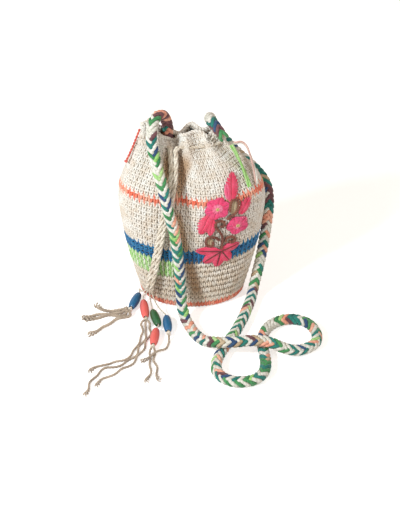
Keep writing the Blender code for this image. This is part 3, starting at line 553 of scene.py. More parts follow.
def tubes(lines, outs, radii, sides, flat=1.0, tip=0.7):
    """Round-ended tubes along lines, arrays of (tube, point, xyz), with outs as the way their tops face."""
    lines, radii = np.asarray(lines, float), np.asarray(radii, float)
    count, rings, _ = lines.shape
    along = unit(np.gradient(lines, axis=1))
    side = unit(np.cross(along, np.broadcast_to(outs, lines.shape)))
    up = np.cross(side, along)
    turn = TURN * np.arange(sides) / sides
    ring = (np.cos(turn)[:, None] * side[:, :, None, :] + flat * np.sin(turn)[:, None] * up[:, :, None, :])
    points = lines[:, :, None, :] + ring * radii[:, :, None, None]
    starts = lines[:, 0] - along[:, 0] * radii[:, 0, None] * tip
    ends = lines[:, -1] + along[:, -1] * radii[:, -1, None] * tip
    each = rings * sides + 2
    points = np.concatenate([points.reshape(count, -1, 3), starts[:, None], ends[:, None]], 1).reshape(-1, 3)
    steps = np.linalg.norm(np.diff(lines, axis=1), axis=2)
    run = np.concatenate([np.zeros((count, 1)), np.cumsum(steps, 1)], 1) / (2 * radii.mean(1, keepdims=True))
    base = (np.arange(count) * each)[:, None, None]
    j, i = np.meshgrid(np.arange(rings - 1), np.arange(sides), indexing="ij")
    after = (i + 1) % sides
    quads = np.stack([base + j * sides + i, base + j * sides + after,
                      base + (j + 1) * sides + after, base + (j + 1) * sides + i], -1)
    u0, u1 = i / sides, (i + 1) / sides
    v0, v1 = run[:, :-1, None] + 0 * i, run[:, 1:, None] + 0 * i
    u0, u1 = np.broadcast_to(u0, v0.shape), np.broadcast_to(u1, v0.shape)
    quad_uv = np.stack([np.stack([u0, v0], -1), np.stack([u1, v0], -1),
                        np.stack([u1, v1], -1), np.stack([u0, v1], -1)], -2)
    k = np.arange(sides)
    low = np.stack([base[:, 0] + each - 2 + 0 * k, base[:, 0] + (k + 1) % sides, base[:, 0] + k], -1)
    last = (rings - 1) * sides
    high = np.stack([base[:, 0] + each - 1 + 0 * k, base[:, 0] + last + k,
                     base[:, 0] + last + (k + 1) % sides], -1)
    caps = np.concatenate([low, high], 1)
    cap_uv = np.zeros(caps.shape + (2,))
    cap_uv[:, :, :, 0] = 0.5
    cap_uv[:, sides:, :, 1] = run[:, -1, None, None]
    owner = np.repeat(np.arange(count), (rings - 1) * sides)
    cap_owner = np.repeat(np.arange(count), 2 * sides)
    return {
        "points": points,
        "faces": quads.reshape(-1, 4).tolist() + caps.reshape(-1, 3).tolist(),
        "uv": np.concatenate([quad_uv.reshape(-1, 2), cap_uv.reshape(-1, 2)]),
        "owner": np.concatenate([owner, cap_owner]),
    }


def joined(shapes):
    """Several tube sets as one, with a material number for each."""
    points, faces, uv, numbers, start = [], [], [], [], 0
    for shape, look in shapes:
        points.append(shape["points"])
        faces += [[start + p for p in face] for face in shape["faces"]]
        uv.append(shape["uv"])
        numbers.append(np.broadcast_to(look, len(shape["faces"])))
        start += len(shape["points"])
    return {"points": np.concatenate(points), "faces": faces, "uv": np.concatenate(uv),
            "look": np.concatenate(numbers)}


def add_piece(name, shape, look_names, body=BODY, nodes=(), look_of_face=None):
    """A smooth mesh piece that rides on a body and stands for CAD nodes."""
    mesh = bpy.data.meshes.new(name)
    mesh.from_pydata((shape["points"] * MM).tolist(), [], shape["faces"])
    layer = mesh.uv_layers.new(name="yarn")
    layer.data.foreach_set("uv", np.asarray(shape["uv"], np.float32).ravel())
    for look in look_names:
        mesh.materials.append(looks[look])
    numbers = shape.get("look") if look_of_face is None else look_of_face
    if numbers is not None:
        mesh.polygons.foreach_set("material_index", np.asarray(numbers, np.int32))
    mesh.shade_smooth()
    mesh.update()
    thing = bpy.data.objects.new(name, mesh)
    bpy.context.scene.collection.objects.link(thing)
    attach(thing, body)
    if nodes:
        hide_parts(*nodes)
    return thing


def run_along(line):
    """How far along a line each of its points is."""
    return np.concatenate([[0], np.cumsum(np.linalg.norm(np.diff(line, axis=0), axis=1))])


def along_run(run, values, places):
    """A line's values at distances along it."""
    return np.stack([np.interp(places, run, values[:, k]) for k in range(3)], -1)


def smooth_line(points, spacing):
    """Evenly spaced points, about this far apart, along a smooth curve through a route's own points."""
    points = np.asarray([tuple(p) for p in points], float)
    ends = np.concatenate([[2 * points[0] - points[1]], points, [2 * points[-1] - points[-2]]])
    t = np.arange(12)[:, None] / 12
    fine = []
    for a, b, c, d in zip(ends, ends[1:], ends[2:], ends[3:]):
        fine.append(0.5 * (2 * b + (c - a) * t + (2 * a - 5 * b + 4 * c - d) * t ** 2
                           + (3 * b - 3 * c + d - a) * t ** 3))
    fine = np.concatenate(fine + [points[-1:]])
    run = run_along(fine)
    return along_run(run, fine, np.linspace(0, run[-1], max(3, round(run[-1] / spacing)) + 1))


def line_length(line):
    return float(np.linalg.norm(np.diff(line, axis=0), axis=1).sum())


def carried_frame(line, start, pull=None):
    """(normals, sides) along a line, carried on without twist, and drawn towards pull where that is given."""
    along = unit(np.gradient(line, axis=0))
    normals = []
    normal = np.asarray(start, float)
    for tangent in along:
        if pull is not None:
            wanted = pull - tangent * float(np.dot(pull, tangent))
            normal = normal + wanted * 0.12 * float(np.linalg.norm(wanted))
        normal = normal - tangent * float(np.dot(normal, tangent))
        normal = normal / np.linalg.norm(normal)
        normals.append(normal)
    normals = np.array(normals)
    return normals, np.cross(along, normals)


def rope(line, diameter, plies, lay, start=(0, -0.6, 0.8), fray=0.0, sides=7):
    """Plies twisted round a line. With fray, they come apart over that length at its end."""
    normals, sideways = carried_frame(line, start)
    run = run_along(line)
    radius = diameter * (0.27 if plies == 2 else 0.245)
    spread = diameter / 2 - radius
    apart = np.ones(len(line))
    if fray:
        apart += 1.8 * smooth_step((run - run[-1] + fray) / fray)
    lines = []
    for k in range(plies):
        turn = TURN * (run / lay + k / plies)
        lines.append(line + (np.cos(turn)[:, None] * normals + np.sin(turn)[:, None] * sideways)
                     * (spread * apart)[:, None])
    return tubes(lines, normals[None], np.full((plies, len(line)), radius), sides)


def aimed(thing, place, target):
    """Puts a camera or lamp at a place, in millimetres, turned towards its target."""
    bpy.context.scene.collection.objects.link(thing)
    thing.location = Vector(place) * MM
    thing.rotation_mode = "QUATERNION"
    thing.rotation_quaternion = (Vector(target) - Vector(place)).to_track_quat("-Z", "Y")


def make_camera():
    """The camera that took the photograph."""
    camera = bpy.data.objects.new("camera", bpy.data.cameras.new("camera"))
    aimed(camera, EYE, TARGET)
    camera.data.lens = LENS
    camera.data.sensor_width = SENSOR
    bpy.context.scene.camera = camera


def add_lamp(name, place, size, power, colour):
    """A round lamp, its size in millimetres."""
    lamp = bpy.data.objects.new(name, bpy.data.lights.new(name, "AREA"))
    aimed(lamp, place, LAMP_TARGET)
    lamp.data.shape = "DISK"
    lamp.data.size = size * MM
    lamp.data.energy = power
    lamp.data.color = colour


def make_studio():
    """A white floor and background, and soft light that comes mainly from the front left."""
    bpy.context.scene.view_settings.view_transform = "Standard"
    world = bpy.data.worlds.new("studio")
    bpy.context.scene.world = world
    world.use_nodes = True
    tree = world.node_tree
    rays = node(tree, "ShaderNodeLightPath").outputs
    seen = maths(tree, "MAXIMUM", rays["Is Camera Ray"], rays["Is Glossy Ray"])
    seen = maths(tree, "MAXIMUM", seen, rays["Is Transmission Ray"])
    feed(tree, tree.nodes["Background"], [
        ("Strength", ranged(tree, seen, 0.0, 1.0, WORLD_LEVEL, 1.0)),
        ("Color", blend(tree, seen, WORLD_TINT, PLAIN_WHITE))])

    half = FLOOR_HALF
    mesh = bpy.data.meshes.new("floor")
    mesh.from_pydata([(-half, -half, 0), (half, -half, 0), (half, half, 0), (-half, half, 0)], [],
                     [(0, 1, 2, 3)])
    floor = bpy.data.objects.new("floor", mesh)
    bpy.context.scene.collection.objects.link(floor)
    look, tree, shader = bare_material("floor")
    seen = node(tree, "ShaderNodeLightPath").outputs["Is Camera Ray"]
    feed(tree, shader, [
        ("Base Color", rgba(FLOOR_GREY)), ("Roughness", 0.9), ("Specular IOR Level", 0.1),
        ("Emission Color", rgba(PLAIN_WHITE)),
        ("Emission Strength", maths(tree, "MULTIPLY", seen, FLOOR_GLOW))])
    mesh.materials.append(look)
    for name, settings in LAMPS.items():
        add_lamp(name, *settings)


make_camera()
make_studio()

for look_name, (first, second, settings) in YARNS.items():
    looks[look_name] = yarn_material(look_name, first, second, **settings)
looks["painted_gap_shade"] = lining_material()
looks["crochet_inside"] = inside_material()


# Cords

def drawstring_ring():
    """The drawstring's line round the neck, from one corner of its mouth at the front to the other."""
    angle = VALLEY_ANGLE - DRAWSTRING_MOUTH / 2 - (TURN - DRAWSTRING_MOUTH) * np.linspace(0, 1, RING_POINTS)
    return wall(angle, np.full(RING_POINTS, NECK_HEIGHT), DRAWSTRING_INSET, pleated=False)


def drawstring_end(side):
    """The hanging end's line, from its corner at the front valley."""
    ring = drawstring_ring()
    corner, route = (ring[0], LEFT_END_ROUTE) if side == "left" else (ring[-1], RIGHT_END_ROUTE)
    return smooth_line([corner] + route, 1.1)


def make_drawstring():
    """The cord round the neck and its two hanging ends, one node in the CAD."""
    ring = rope(drawstring_ring(), DRAWSTRING_DIAMETER, 2, RING_LAY)
    add_piece("drawstring_ring", ring, ["twine_look"], nodes=["drawstring"])
    for side in ("left", "right"):
        line = drawstring_end(side)
        piece = add_piece("drawstring_end_" + side, rope(line, HANGING_DIAMETER, 3, HANGING_LAY, (1, 0, 0)),
                          ["twine_look"], nodes=["drawstring"])


def bead_axis(name):
    """(middle, direction along its bore) of a bead."""
    top, bottom, _ = BEADS[name]
    top, bottom = np.array(top, float), np.array(bottom, float)
    return (top + bottom) / 2, unit(bottom - top)


def bead_end(name, side, beyond=0.0):
    """Where a bead's top (-1) or bottom (1) is on its lead, or a point beyond it."""
    middle, direction = bead_axis(name)
    return middle + direction * side * (BEADS[name][2] / 2 + beyond)


def knot_centre(bead):
    """The middle of the knot below a bead."""
    return bead_end(bead, 1, GAP + KNOT_DIAMETER / 2)


def lead_start(end, side):
    """A lead's first two points, where an end of the drawstring splits in two."""
    line = drawstring_end(end)
    along = unit(line[-1] - line[-8])
    across = unit(np.cross(along, (0, -1, 0)))
    if across[0] < 0:
        across = -across
    beside = line[-1] + across * side * (LEAD_DIAMETER + 1.5 * GAP) / 2 + along * 1.5 * GAP
    return [beside, beside + along * 4]


def make_leads():
    """The thin cords that run from the hanging ends through the beads to their knots."""
    for name, (end, side, way, beads) in LEADS.items():
        route = lead_start(end, side) + [np.array(p, float) for p in way]
        for bead in beads:
            middle, _ = bead_axis(bead)
            route += [bead_end(bead, -1, 2.5), bead_end(bead, -1, 0.5), middle, bead_end(bead, 1)]
        line = smooth_line(route, 0.8)
        piece = add_piece(name + "_look", rope(line, LEAD_DIAMETER, 2, LEAD_LAY), ["twine_look"],
                          nodes=[name])


def make_strands():
    """The frayed strands that fan out on the floor from the knots."""
    for index, (name, (bead, heading, points)) in enumerate(STRANDS.items()):
        away = np.array((math.cos(math.radians(heading)), math.sin(math.radians(heading)), 0.0))
        centre = knot_centre(bead)
        start = centre + away * (KNOT_DIAMETER / 2 * KNOT_BULGE + GAP + STRAND_DIAMETER * 0.15)
        dropped = start + away * 5
        route = [start, start + away * 2, (dropped[0], dropped[1], centre[2] - 3)]
        route += [point if len(point) == 3 else (*point, FLOOR_HEIGHT) for point in points]
        line = smooth_line(route, 0.9)
        _, sideways = carried_frame(line, (0, 0, 1))
        run = np.linspace(0, line_length(line), len(line))
        sway = np.sin(TURN * run / STRAND_WAVE + 2.1 * index) * smooth_step(run / STRAND_WAVE)
        line = line + sideways * (STRAND_SWAY * sway)[:, None]
        diameter = BLUE_STRAND_LOOK if bead == "blue_bead_left" else STRAND_LOOK
        line[:, 2] = np.maximum(line[:, 2], diameter / 2 + 0.1)
        shape = rope(line, diameter, 3, STRAND_LAY, fray=STRAND_FRAY)
        shape["points"][:, 2] = np.maximum(shape["points"][:, 2], 0.1)
        piece = add_piece(name + "_look", shape, ["frayed_twine"], nodes=[name])


def knot_shape(centre, diameter, yarn, direction=(0, 0, 1)):
    """An overhand knot: a trefoil of yarn drawn up tight."""
    t = TURN * np.linspace(0, 1, 90, endpoint=False)
    size = (diameter / 2 - yarn / 2) / 3
    x = (np.sin(t) + 2 * np.sin(2 * t)) * size
    y = (np.cos(t) - 2 * np.cos(2 * t)) * size
    z = -np.sin(3 * t) * size * 1.1
    main = unit(np.asarray(direction, float))
    side = unit(np.cross(main, (0.3, 0.5, 0.8)))
    up = np.cross(main, side)
    line = centre + x[:, None] * side + y[:, None] * up + z[:, None] * main
    line = np.concatenate([line, line[:4]])
    normals, _ = carried_frame(line, main)
    return tubes(line[None], normals[None], np.full((1, len(line)), yarn / 2), 8)


def bead_shape(length):
    """A turned bead along Z: a smooth oval with small flat ends round its bore."""
    half = length / 2
    sides = BEAD_SIDES
    along = -np.cos(np.pi * np.arange(BEAD_RINGS + 1) / BEAD_RINGS)
    swell = np.sqrt(np.clip(1 - along ** 2, 0, 1)) ** BEAD_SWELL
    radius = BEAD_END_DIAMETER / 2 + (BEAD_DIAMETER - BEAD_END_DIAMETER) / 2 * swell
    profile = [(-half + 1.5, BEAD_BORE / 2 - 0.4), (-half + 0.3, BEAD_BORE / 2)]
    profile += [(a * half, r) for a, r in zip(along, radius)]
    profile += [(half - 0.3, BEAD_BORE / 2), (half - 1.5, BEAD_BORE / 2 - 0.4)]
    turn = TURN * np.arange(sides) / sides
    points, faces, uv = [], [], []
    for z, r in profile:
        for a in turn:
            points.append((r * math.cos(a), r * math.sin(a), z))
    rings = len(profile)
    for j in range(rings):
        k = (j + 1) % rings
        for i in range(sides):
            n = (i + 1) % sides
            faces.append([j * sides + i, j * sides + n, k * sides + n, k * sides + i])
            uv += [(i / sides, j), (n / sides, j), (n / sides, j + 1), (i / sides, j + 1)]
    return {"points": np.array(points), "faces": faces, "uv": np.array(uv)}


def make_beads():
    """The beads, each on its own body, and the knots below them."""
    for name, colour in BEAD_COLOURS.items():
        middle, direction = bead_axis(name)
        shape = bead_shape(BEADS[name][2])
        side = unit(np.cross(direction, (0, 0, 1)))
        up = np.cross(direction, side)
        shape["points"] = middle + shape["points"] @ np.array([side, up, direction])
        looks[name + "_gloss"] = paint_material(name + "_gloss", colour)
        piece = add_piece(name + "_look", shape, [name + "_gloss"], body=name, nodes=[name])
        piece.data.set_sharp_from_angle(angle=math.radians(50))
    for bead in ("blue_bead_left", "coral_bead_left", "coral_bead_right", "blue_bead_right"):
        _, direction = bead_axis(bead)
        shape = knot_shape(knot_centre(bead), KNOT_DIAMETER + 0.8, 2.5, direction)
        add_piece("knot_" + bead + "_look", shape, ["twine_look"], nodes=["knot_" + bead])


def strap_colours(places, middles, dice):
    """A yarn number for each pair of legs: light and dyed by turns, and dark yarns as painted shade where the
    strap lies in shadow, at its ends in and over the mouth and behind the bag at the right.
    """
    ends = (places < BRAID_SHADE_START) | (places > places[-1] - BRAID_SHADE_END)
    dark = ends | ((middles[:, 0] > BRAID_SHADE_X) & (middles[:, 2] > BRAID_SHADE_Z))
    numbers = []
    for k in range(len(places)):
        light = dice.choice(9, p=BRAID_LIGHT_SHARES)
        dyed = dice.choice(9, p=BRAID_DYED_SHARES)
        shade = dice.choice(9, p=BRAID_SHADE_SHARES)
        numbers.append(shade if dark[k] else (light, dyed)[k % 2])
    return np.array(numbers)


def make_strap():
    """The braid: legs wrap its round core from both sides and meet in a V along its top and its underside."""
    line = smooth_line(STRAP_ROUTE, 2.3)
    normals, sideways = carried_frame(line, (0, 1, 0.2), unit(np.array((0.0, -0.75, 0.66))))
    run = run_along(line)
    share = np.linspace(-1, 1, BRAID_RINGS)
    places = np.arange(BRAID_LEAD, run[-1] - BRAID_LEAD, BRAID_PITCH)
    dice = np.random.RandomState(5)
    both = strap_colours(places, along_run(run, line, places), dice)
    parts = []
    for side in (-1, 1):
        along = (places + side * BRAID_PITCH / 4)[:, None] + BRAID_LEAD * (np.abs(share) - BRAID_FOLD)[None]
        tilt = share * math.radians(BRAID_WRAP)
        tuck = 1 - BRAID_TUCK * np.abs(share) ** 6
        across, up = side * BRAID_HALF_WIDTH * np.cos(tilt) * tuck, BRAID_HALF_HEIGHT * np.sin(tilt) * tuck
        sides_there, normals_there = along_run(run, sideways, along), along_run(run, normals, along)
        legs = along_run(run, line, along) + sides_there * across[:, None] + normals_there * up[:, None]
        outs = sides_there * (side * np.cos(tilt))[:, None] + normals_there * np.sin(tilt)[:, None]
        radii = BRAID_LEG_RADIUS * dice.uniform(0.92, 1.1, (len(places), 1)) * np.ones(BRAID_RINGS)
        shape = tubes(legs, outs, radii, 7, flat=0.85)
        shape["points"][:, 2] = np.maximum(shape["points"][:, 2], 0.1)
        own = strap_colours(places, along_run(run, line, places), dice)
        colour = np.where(dice.uniform(size=len(both)) < BRAID_PAIRED, both, own)
        parts.append((shape, colour[shape["owner"]]))
    core = line[3:-4:3]
    radii = np.full((1, len(core)), BRAID_CORE_RADIUS)
    parts.append((tubes(core[None], normals[None, 3:-4:3], radii, 8), BRAID_TAN))
    piece = add_piece("strap_plait", joined(parts), BRAID_YARNS, nodes=["strap"])


def make_tails():
    """The red tail with its knot, and the lime and pink ones of two yarns that lie side by side."""
    line, diameter = smooth_line(CORAL_TAIL_ROUTE, 0.9), TAIL_DIAMETER + 0.8
    piece = add_piece("coral_tail_look", rope(line, diameter, 2, TAIL_LAY), ["coral_tail_yarn"],
                      nodes=["coral_tail"])
    centre = line[-1] + unit(line[-1] - line[-5]) * (TAIL_KNOT_DIAMETER / 2 + GAP)
    knot = add_piece("coral_tail_knot_look", knot_shape(centre, TAIL_KNOT_DIAMETER + 0.9, 1.9),
                     ["coral_tail_yarn"], nodes=["coral_tail_knot"])
    for name, (route, wider, lay, yarns, slot) in LOOSE_TAILS.items():
        line, diameter = smooth_line(route, 0.9), TAIL_DIAMETER + wider
        shape = rope(line, diameter, 2, lay, (1, 0, 0.2))
        piece = add_piece(name + "_look", shape, yarns, nodes=[name], look_of_face=shape["owner"])


make_strap()
make_drawstring()
make_beads()
make_leads()
make_strands()
make_tails()


# The crocheted bucket

def round_heights():
    """(middle height, pitch) of each round, from the foot to the rim."""
    rounds, z = [], FIRST_ROUND
    while z < RIM_HEIGHT - HIGH_PITCH * 0.4:
        pitch = LOW_PITCH + (HIGH_PITCH - LOW_PITCH) * z / RIM_HEIGHT
        rounds.append((z, pitch))
        z += pitch
    stretch = (RIM_HEIGHT - HIGH_PITCH * 0.6 - FIRST_ROUND) / (rounds[-1][0] - FIRST_ROUND)
    return [(FIRST_ROUND + (z - FIRST_ROUND) * stretch, pitch * stretch) for z, pitch in rounds]


def sagged(angle, z):
    """Rounds hang lower in the middle of the front and back than at the sides."""
    amount = ROUND_SAG * np.sin(np.pi * np.clip(z / RIM_HEIGHT, 0, 1)) ** 0.7
    return z + amount * (np.cos(angle) ** 2 - 0.5)


def leg_ends(colour, green, low, side):
    """Where each leg starts and ends, in rounds from its own."""
    low_end, high_end = np.where(low, -0.47, -0.58), np.where(low, 0.36, 0.42)
    dyed = ((colour == 1, CORAL_REACH), (colour == 2, BLUE_REACH), (green, LIME_REACH))
    for chosen, (bottoms, tops) in dyed:
        low_end = np.where(chosen[:, None], bottoms[(side + 1) // 2], low_end)
        high_end = np.where(chosen[:, None], tops[(side + 1) // 2], high_end)
    return low_end, high_end


def leg_shapes():
    """Every stitch's two legs and the bar over them, as [tube lines, normals, radii, colour numbers, heights].

    The colour numbers are 0 cream, 1 coral, 2 blue, 3 lime and 4 faded lime.
    """
    rounds = round_heights()
    dice = np.random.RandomState(11)
    even, middle, pitch, number = [], [], [], []
    for r, (z, p) in enumerate(rounds):
        places = TURN * (np.arange(STITCHES) + ROUND_SHIFT * r) / STITCHES
        even.append(places)
        middle.append(np.full(STITCHES, z))
        pitch.append(np.full(STITCHES, p))
        number.append(np.full(STITCHES, r))
    even, middle, pitch, number = (np.concatenate(x) for x in (even, middle, pitch, number))
    low, high = CORAL_BAND
    rows = np.array([z for z, _ in rounds])
    coral_row = int(np.argmin(abs(rows - (low + high) / 2)))
    blue_rows = np.argsort(abs(rows - sum(BLUE_BAND) / 2))[:2]
    lime_rows = np.argsort(abs(rows - sum(LIME_BAND) / 2))[:3]
    lime_rows = [r for r in lime_rows if r not in blue_rows]
    colour = np.zeros(len(even), int)
    colour[(number == coral_row) | (number == 0)] = 1
    colour[np.isin(number, blue_rows)] = 2
    position = (oval_angle(even) + np.pi) % TURN - np.pi
    position = np.where(position > LIME_TO, position - TURN, position)
    green = np.isin(number, lime_rows) & (position > LIME_FROM) & (position < LIME_TO)
    low = (middle < LOOSE_BELOW)[:, None]
    legs = []
    for side in (-1, 1, 0):
        share = np.linspace(0, 1, LEG_RINGS)[None]
        dyed = ((colour > 0) | green)[:, None]
        if side:
            s = side * (0.09 + 0.19 * smooth_step(share * 1.25)) + dice.normal(0, 0.022, (len(even), 1))
            low_end, high_end = leg_ends(colour, green, low, side)
            t = low_end + (high_end - low_end) * share + dice.normal(0, 0.03, (len(even), 1))
        else:
            s = 1.24 * share - 0.62 + dice.normal(0, 0.02, (len(even), 1))
            t = 0.42 + 0.10 * share + dice.normal(0, 0.02, (len(even), 1))
        angle = oval_angle(even[:, None] + s * TURN / STITCHES)
        z = np.maximum(1.9, sagged(angle, middle[:, None] + t * pitch[:, None]))
        z = np.minimum(z, RIM_HEIGHT - 0.5)
        step = TURN / STITCHES / 2
        across = wall(oval_angle(even + step), middle) - wall(oval_angle(even - step), middle)
        width = np.linalg.norm(across, axis=1)
        radius = np.clip(0.27 * width, 0.9, LEG_RADIUS)[:, None] * dice.uniform(0.92, 1.06, (len(even), 1))
        if side:
            radius = radius * np.where(dyed, 0.98, np.where(low, 1.08, 0.93))
            inset = LEG_INSET + 1.15 * np.abs(2 * share - 1.05) ** 3 + (LEG_RADIUS - radius) - 0.5 * dyed
        else:
            radius = radius * np.where(low, 0.55, 0.84)
            inset = LEG_INSET + np.where(low, 1.3, 0.1) + 0.7 * np.abs(2 * share - 1) ** 3
        line, normal = wall_frame(angle, z, inset)
        shape = radius * (0.5 + 0.5 * np.sin(np.pi * np.clip(share * 0.85 + 0.1 * abs(side), 0, 1)))
        number_of = np.where(green & (side != 0), 3 if side < 0 else 4, colour if side else 2 * (colour == 2))
        legs.append((line, normal, shape, number_of, middle))
    return [np.concatenate([leg[k] for leg in legs]) for k in range(5)]


def part_round_drawstring(line, radius):
    """Moves the legs that the drawstring goes through apart, up and down."""
    ends = [drawstring_end(side)[:EYELET_POINTS] for side in ("left", "right")]
    cord = np.concatenate([drawstring_ring()] + ends)
    near = np.where(abs(line[:, :, 2].mean(1) - NECK_HEIGHT) < EYELET_REACH)[0]
    for i in near:
        away = line[i][:, None] - cord[None]
        far = np.linalg.norm(away, axis=2)
        nearest = far.argmin(1)
        away, far = away[np.arange(len(nearest)), nearest], far.min(1)
        push = unit(away * (0.35, 0.35, 1.0) + (0.0, 0.0, 0.001))
        line[i] += push * np.maximum(0, DRAWSTRING_DIAMETER / 2 + radius[i] + 0.1 - far)[:, None]


def make_stitches():
    """All the legs of yarn, as one piece for each colour and part of the bag."""
    line, normal, radius, colour, middle = leg_shapes()
    part_round_drawstring(line, radius)
    light = np.arange(len(colour)) % 5 == 2
    plain = colour == 0
    for name, look, chosen in (
        ("crochet_lower", "cream_yarn_painted_shade", plain & (middle < LOWER_TOP)),
        ("crochet_middle", "cream_yarn_painted_shade", plain & (middle >= LOWER_TOP) & (middle < MIDDLE_TOP)),
        ("crochet_upper", "cream_yarn_painted_shade", plain & (middle >= MIDDLE_TOP)),
        ("crochet_coral", "coral_yarn_look", (colour == 1) & ~light),
        ("crochet_salmon", "salmon_yarn", (colour == 1) & light),
        ("crochet_blue", "blue_yarn", colour == 2),
        ("crochet_lime", "lime_yarn_look", colour == 3),
        ("crochet_faded_lime", "faded_lime_yarn", colour == 4),
    ):
        shape = tubes(line[chosen], normal[chosen], radius[chosen], LEG_SIDES)
        add_piece(name, shape, [look], nodes=["bag_body"])


def make_lining():
    """The fabric itself, a closed shell behind the stitches with the gathered, open mouth; its outer face
    carries the painted shade seen between the stitches.
    """
    columns = LINING_COLUMNS
    even = TURN * np.arange(columns + 1) / columns
    angle = oval_angle(even)
    levels = [(0.0, BASE_HALF_DEPTH * 0.5, 0), (0.0, BASE_HALF_DEPTH * 0.25, 0), (0.3, LINING_INSET, 0),
              (3.0, LINING_INSET, 0)]
    for z, pitch in round_heights()[1:]:
        levels += [(z - pitch / 2, LINING_INSET, 0), (z, LINING_INSET + 0.5, 0)]
    levels.append((RIM_HEIGHT - 0.8, LINING_INSET - 0.5, 1))
    levels += [(z, WALL, 1) for z in np.linspace(RIM_HEIGHT - 1.5, FOOT_HEIGHT, INNER_RINGS)]
    levels += [(WALL, WALL + BASE_HALF_DEPTH * 0.3, 1), (WALL, WALL + BASE_HALF_DEPTH * 0.6, 1)]
    rings = []
    for z, inset, _ in levels:
        if z > FOOT_HEIGHT:
            height = sagged(angle, z) if z < RIM_HEIGHT - 3 else z + 0 * angle
            rings.append(wall_frame(angle, height, inset)[0])
        else:
            rings.append(wall(angle, z, inset))
            rings[-1][:, 2] = max(z, 0.3)
    points = np.concatenate([ring[:-1] for ring in rings] + [[(0, 0, 0.3)], [(0, 0, WALL)]])
    faces, uv, numbers = [], [], []
    for j in range(len(levels) - 1):
        v0, v1 = levels[j][0] / 7.2, levels[j + 1][0] / 7.2
        for i in range(columns):
            n = (i + 1) % columns
            faces.append([j * columns + i, j * columns + n, (j + 1) * columns + n, (j + 1) * columns + i])
            u0, u1 = i * STITCHES / columns, (i + 1) * STITCHES / columns
            uv += [(u0, v0), (u1, v0), (u1, v1), (u0, v1)]
            numbers.append(levels[j + 1][2])
    last = (len(levels) - 1) * columns
    for i in range(columns):
        n = (i + 1) % columns
        faces += [[len(points) - 2, n, i], [len(points) - 1, last + i, last + n]]
        uv += [(0, 0)] * 6
        numbers += [0, 1]
    shape = {"points": points, "faces": faces, "uv": np.array(uv)}
    add_piece("crochet_fabric", shape, ["painted_gap_shade", "crochet_inside"],
              nodes=["bag_body"], look_of_face=numbers)


def make_rim():
    """The chain of loops that finishes the mouth's edge."""
    even = TURN * np.linspace(0, 1, RIM_POINTS)
    line = wall(oval_angle(even), np.full(RIM_POINTS, RIM_HEIGHT - 0.9), WALL / 2)
    shape = rope(line, RIM_DIAMETER, 2, line_length(line) / RIM_TURNS)
    add_piece("crochet_rim", shape, ["cream_yarn_painted_shade"], nodes=["bag_body"])


make_lining()
make_stitches()
make_rim()


# The applique

def petal(base, tip, half_width, start_width=0.15, lift=0.9, puff=1.7, thread=0.5, slant=0.35, point=0.62,
          jag=0.0):
    """Satin stitches either side of a midline from base to tip, in (x, z) on the front, as tube lines."""
    base, tip = np.array(base, float), np.array(tip, float)
    length = float(np.linalg.norm(tip - base))
    count = max(4, int(length / (thread * 1.7)))
    along = (tip - base) / length
    across = np.array((-along[1], along[0]))
    lines = []
    for k in range(count + 1):
        t = k / count
        width = half_width * max(start_width * (1 - t), math.sin(math.pi * min(1.0, t ** 0.85)) ** point)
        width *= 1 + jag * ((k % 5) / 4 - 0.5)
        root = base + (tip - base) * t * (1 - slant * half_width / length)
        for side in (-1, 1):
            end = base + (tip - base) * t + across * side * width
            share = np.linspace(0.0, 1.0, 5)[:, None]
            flat = root + (end - root) * share
            height = lift + puff * np.sqrt(np.clip(1 - (share[:, 0] * width / half_width) ** 2, 0, 1)) * (
                0.55 + 0.45 * math.sin(math.pi * min(1, t)))
            height = np.maximum(height - 0.9 * (share[:, 0] < 0.1), 0.8)
            lines.append(on_front(flat[:, 0], flat[:, 1], height))
    return np.array(lines), thread


def midrib(settings, lift=2.6):
    """A dark thread along a petal's midline."""
    base, tip = np.array(settings["base"], float), np.array(settings["tip"], float)
    share = np.linspace(0.02, 0.9, 12)[:, None]
    flat = base + (tip - base) * share
    line = on_front(flat[:, 0], flat[:, 1], settings.get("lift", 0.9) + lift * (1 - 0.45 * share[:, 0]) - 0.6)
    return tubes(line[None], FORWARD, np.full((1, len(line)), 0.75), 6)


def petals_shape(specs, rib=None):
    """Several petals, each (settings, colour number), with midribs of colour number rib where it is given."""
    shapes = []
    if rib is not None:
        shapes += [(midrib(settings), rib) for settings, _ in specs]
    for settings, look in specs:
        lines, thread = petal(**settings)
        shapes.append((tubes(lines, FORWARD, np.full(lines.shape[:2], thread), 5, flat=0.8), look))
    return joined(shapes)


def knots_at(points, lift, radius):
    """Small round knots of thread on the front."""
    lines = []
    for x, z in points:
        middle = on_front(x, z, lift)
        lines.append(np.array([middle + (0, 0, -radius * 0.5), middle, middle + (0, 0, radius * 0.5)]))
    radii = np.tile([radius * 0.8, radius, radius * 0.8], (len(points), 1))
    return tubes(lines, FORWARD, radii, 8)


def around(centre, radius, start, count):
    """Evenly spaced points on a circle, from a starting angle in degrees."""
    made = []
    for k in range(count):
        angle = math.radians(start + 360.0 * k / count)
        made.append((centre[0] + radius * math.cos(angle), centre[1] + radius * math.sin(angle)))
    return made


def make_flower(name, node_name, centre, reach, count, start, half_width):
    """A ring of petals, a smaller, paler one on it, and knots of thread in the middle."""
    specs = []
    for tip in around(centre, reach, start, count):
        specs.append((dict(base=centre, tip=tip, half_width=half_width, start_width=0.6, slant=0.1), 0))
    for tip in around(centre, reach * 0.46, start + 180 / count, count):
        specs.append((dict(base=centre, tip=tip, half_width=half_width * 0.5, lift=1.5, start_width=0.6), 1))
    shape = petals_shape(specs)
    middle = knots_at([centre] + around(centre, 1.7, 20, 6), 3.4, 0.85)
    shape = joined([(shape, shape["look"]), (middle, 2)])
    add_piece(name, shape, ["rose_thread", "light_rose_thread", "centre_thread"],
              nodes=[node_name])


